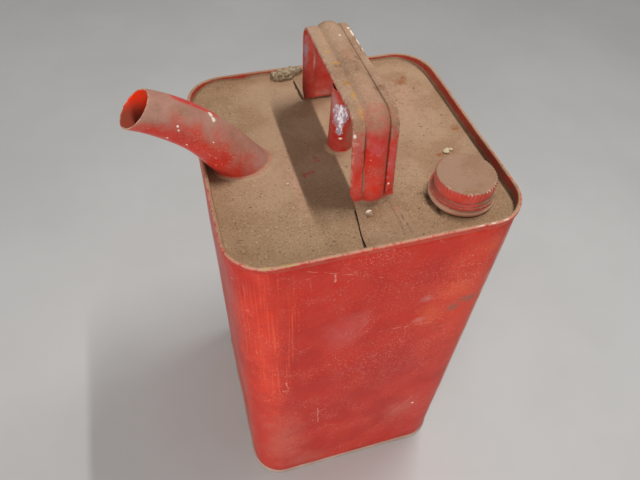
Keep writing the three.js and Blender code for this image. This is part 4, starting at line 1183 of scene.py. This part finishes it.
# Hidden nodes keep the frame's own shapes and take a material
for node_name, finish in (
        ("top_seam_seal", compound), ("bottom_seam_seal", compound),
        ("neck_solder", solder), ("cap_liner", rubber)):
    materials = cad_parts[node_name].data.materials
    materials.clear()
    materials.append(finish)

# Floor and light; the floor is even, pale and matt
FLOOR_HALF = 4.0
bm = bmesh.new()
bmesh.ops.create_grid(bm, x_segments=1, y_segments=1, size=FLOOR_HALF)
mesh = bpy.data.meshes.new("floor")
bm.to_mesh(mesh)
bm.free()
mesh.materials.append(mottled("pale_studio_floor", "#cbcac7", "#c5c4c1", 0.9, 300))
floor = bpy.data.objects.new("floor", mesh)
scene.collection.objects.link(floor)


def lamp(name, place, aim, length, width, power):
    light = bpy.data.lights.new(name, "AREA")
    light.shape = "ELLIPSE"
    light.size = length
    light.size_y = width
    light.energy = power
    holder = bpy.data.objects.new(name, light)
    holder.location = place
    holder.rotation_euler = (aim - place).to_track_quat("-Z", "Y").to_euler()
    scene.collection.objects.link(holder)


# A long key from the right leaves shadows crisp across the can and soft along it
lamp("key", at(250, 60, 1060), at(0, 60, 330), 0.4, 0.02, 4.9)
lamp("front_fill", at(-900, -1500, 600), at(0, 0, 200), 1.4, 1.4, 21)

scene.world = bpy.data.worlds.new("studio")
scene.world.use_nodes = True
sky = scene.world.node_tree.nodes["Background"]
sky.inputs["Color"].default_value = linear("#f2f2f2")
sky.inputs["Strength"].default_value = 0.4
scene.view_settings.view_transform = "Standard"

# Camera at the photograph's place: direction, roll and lens
CAMERA_PLACE = (-99.8, -264.9, 573.4)
CAMERA_TURN, CAMERA_DOWN, CAMERA_ROLL = (math.radians(v) for v in (-18.26, 50.09, 2.84))
IMAGE_WIDTH, FOCAL_PIXELS = 640, 551.83
camera_data = bpy.data.cameras.new("camera")
camera_data.sensor_width = 36
camera_data.lens = FOCAL_PIXELS / IMAGE_WIDTH * camera_data.sensor_width
camera = bpy.data.objects.new("camera", camera_data)
turned = Matrix.Rotation(CAMERA_TURN, 4, "Z") @ Matrix.Rotation(math.pi / 2 - CAMERA_DOWN, 4, "X")
camera.matrix_world = Matrix.Translation(at(*CAMERA_PLACE)) @ turned @ Matrix.Rotation(CAMERA_ROLL, 4, "Z")
scene.collection.objects.link(camera)
scene.camera = camera

bpy.context.view_layer.update()
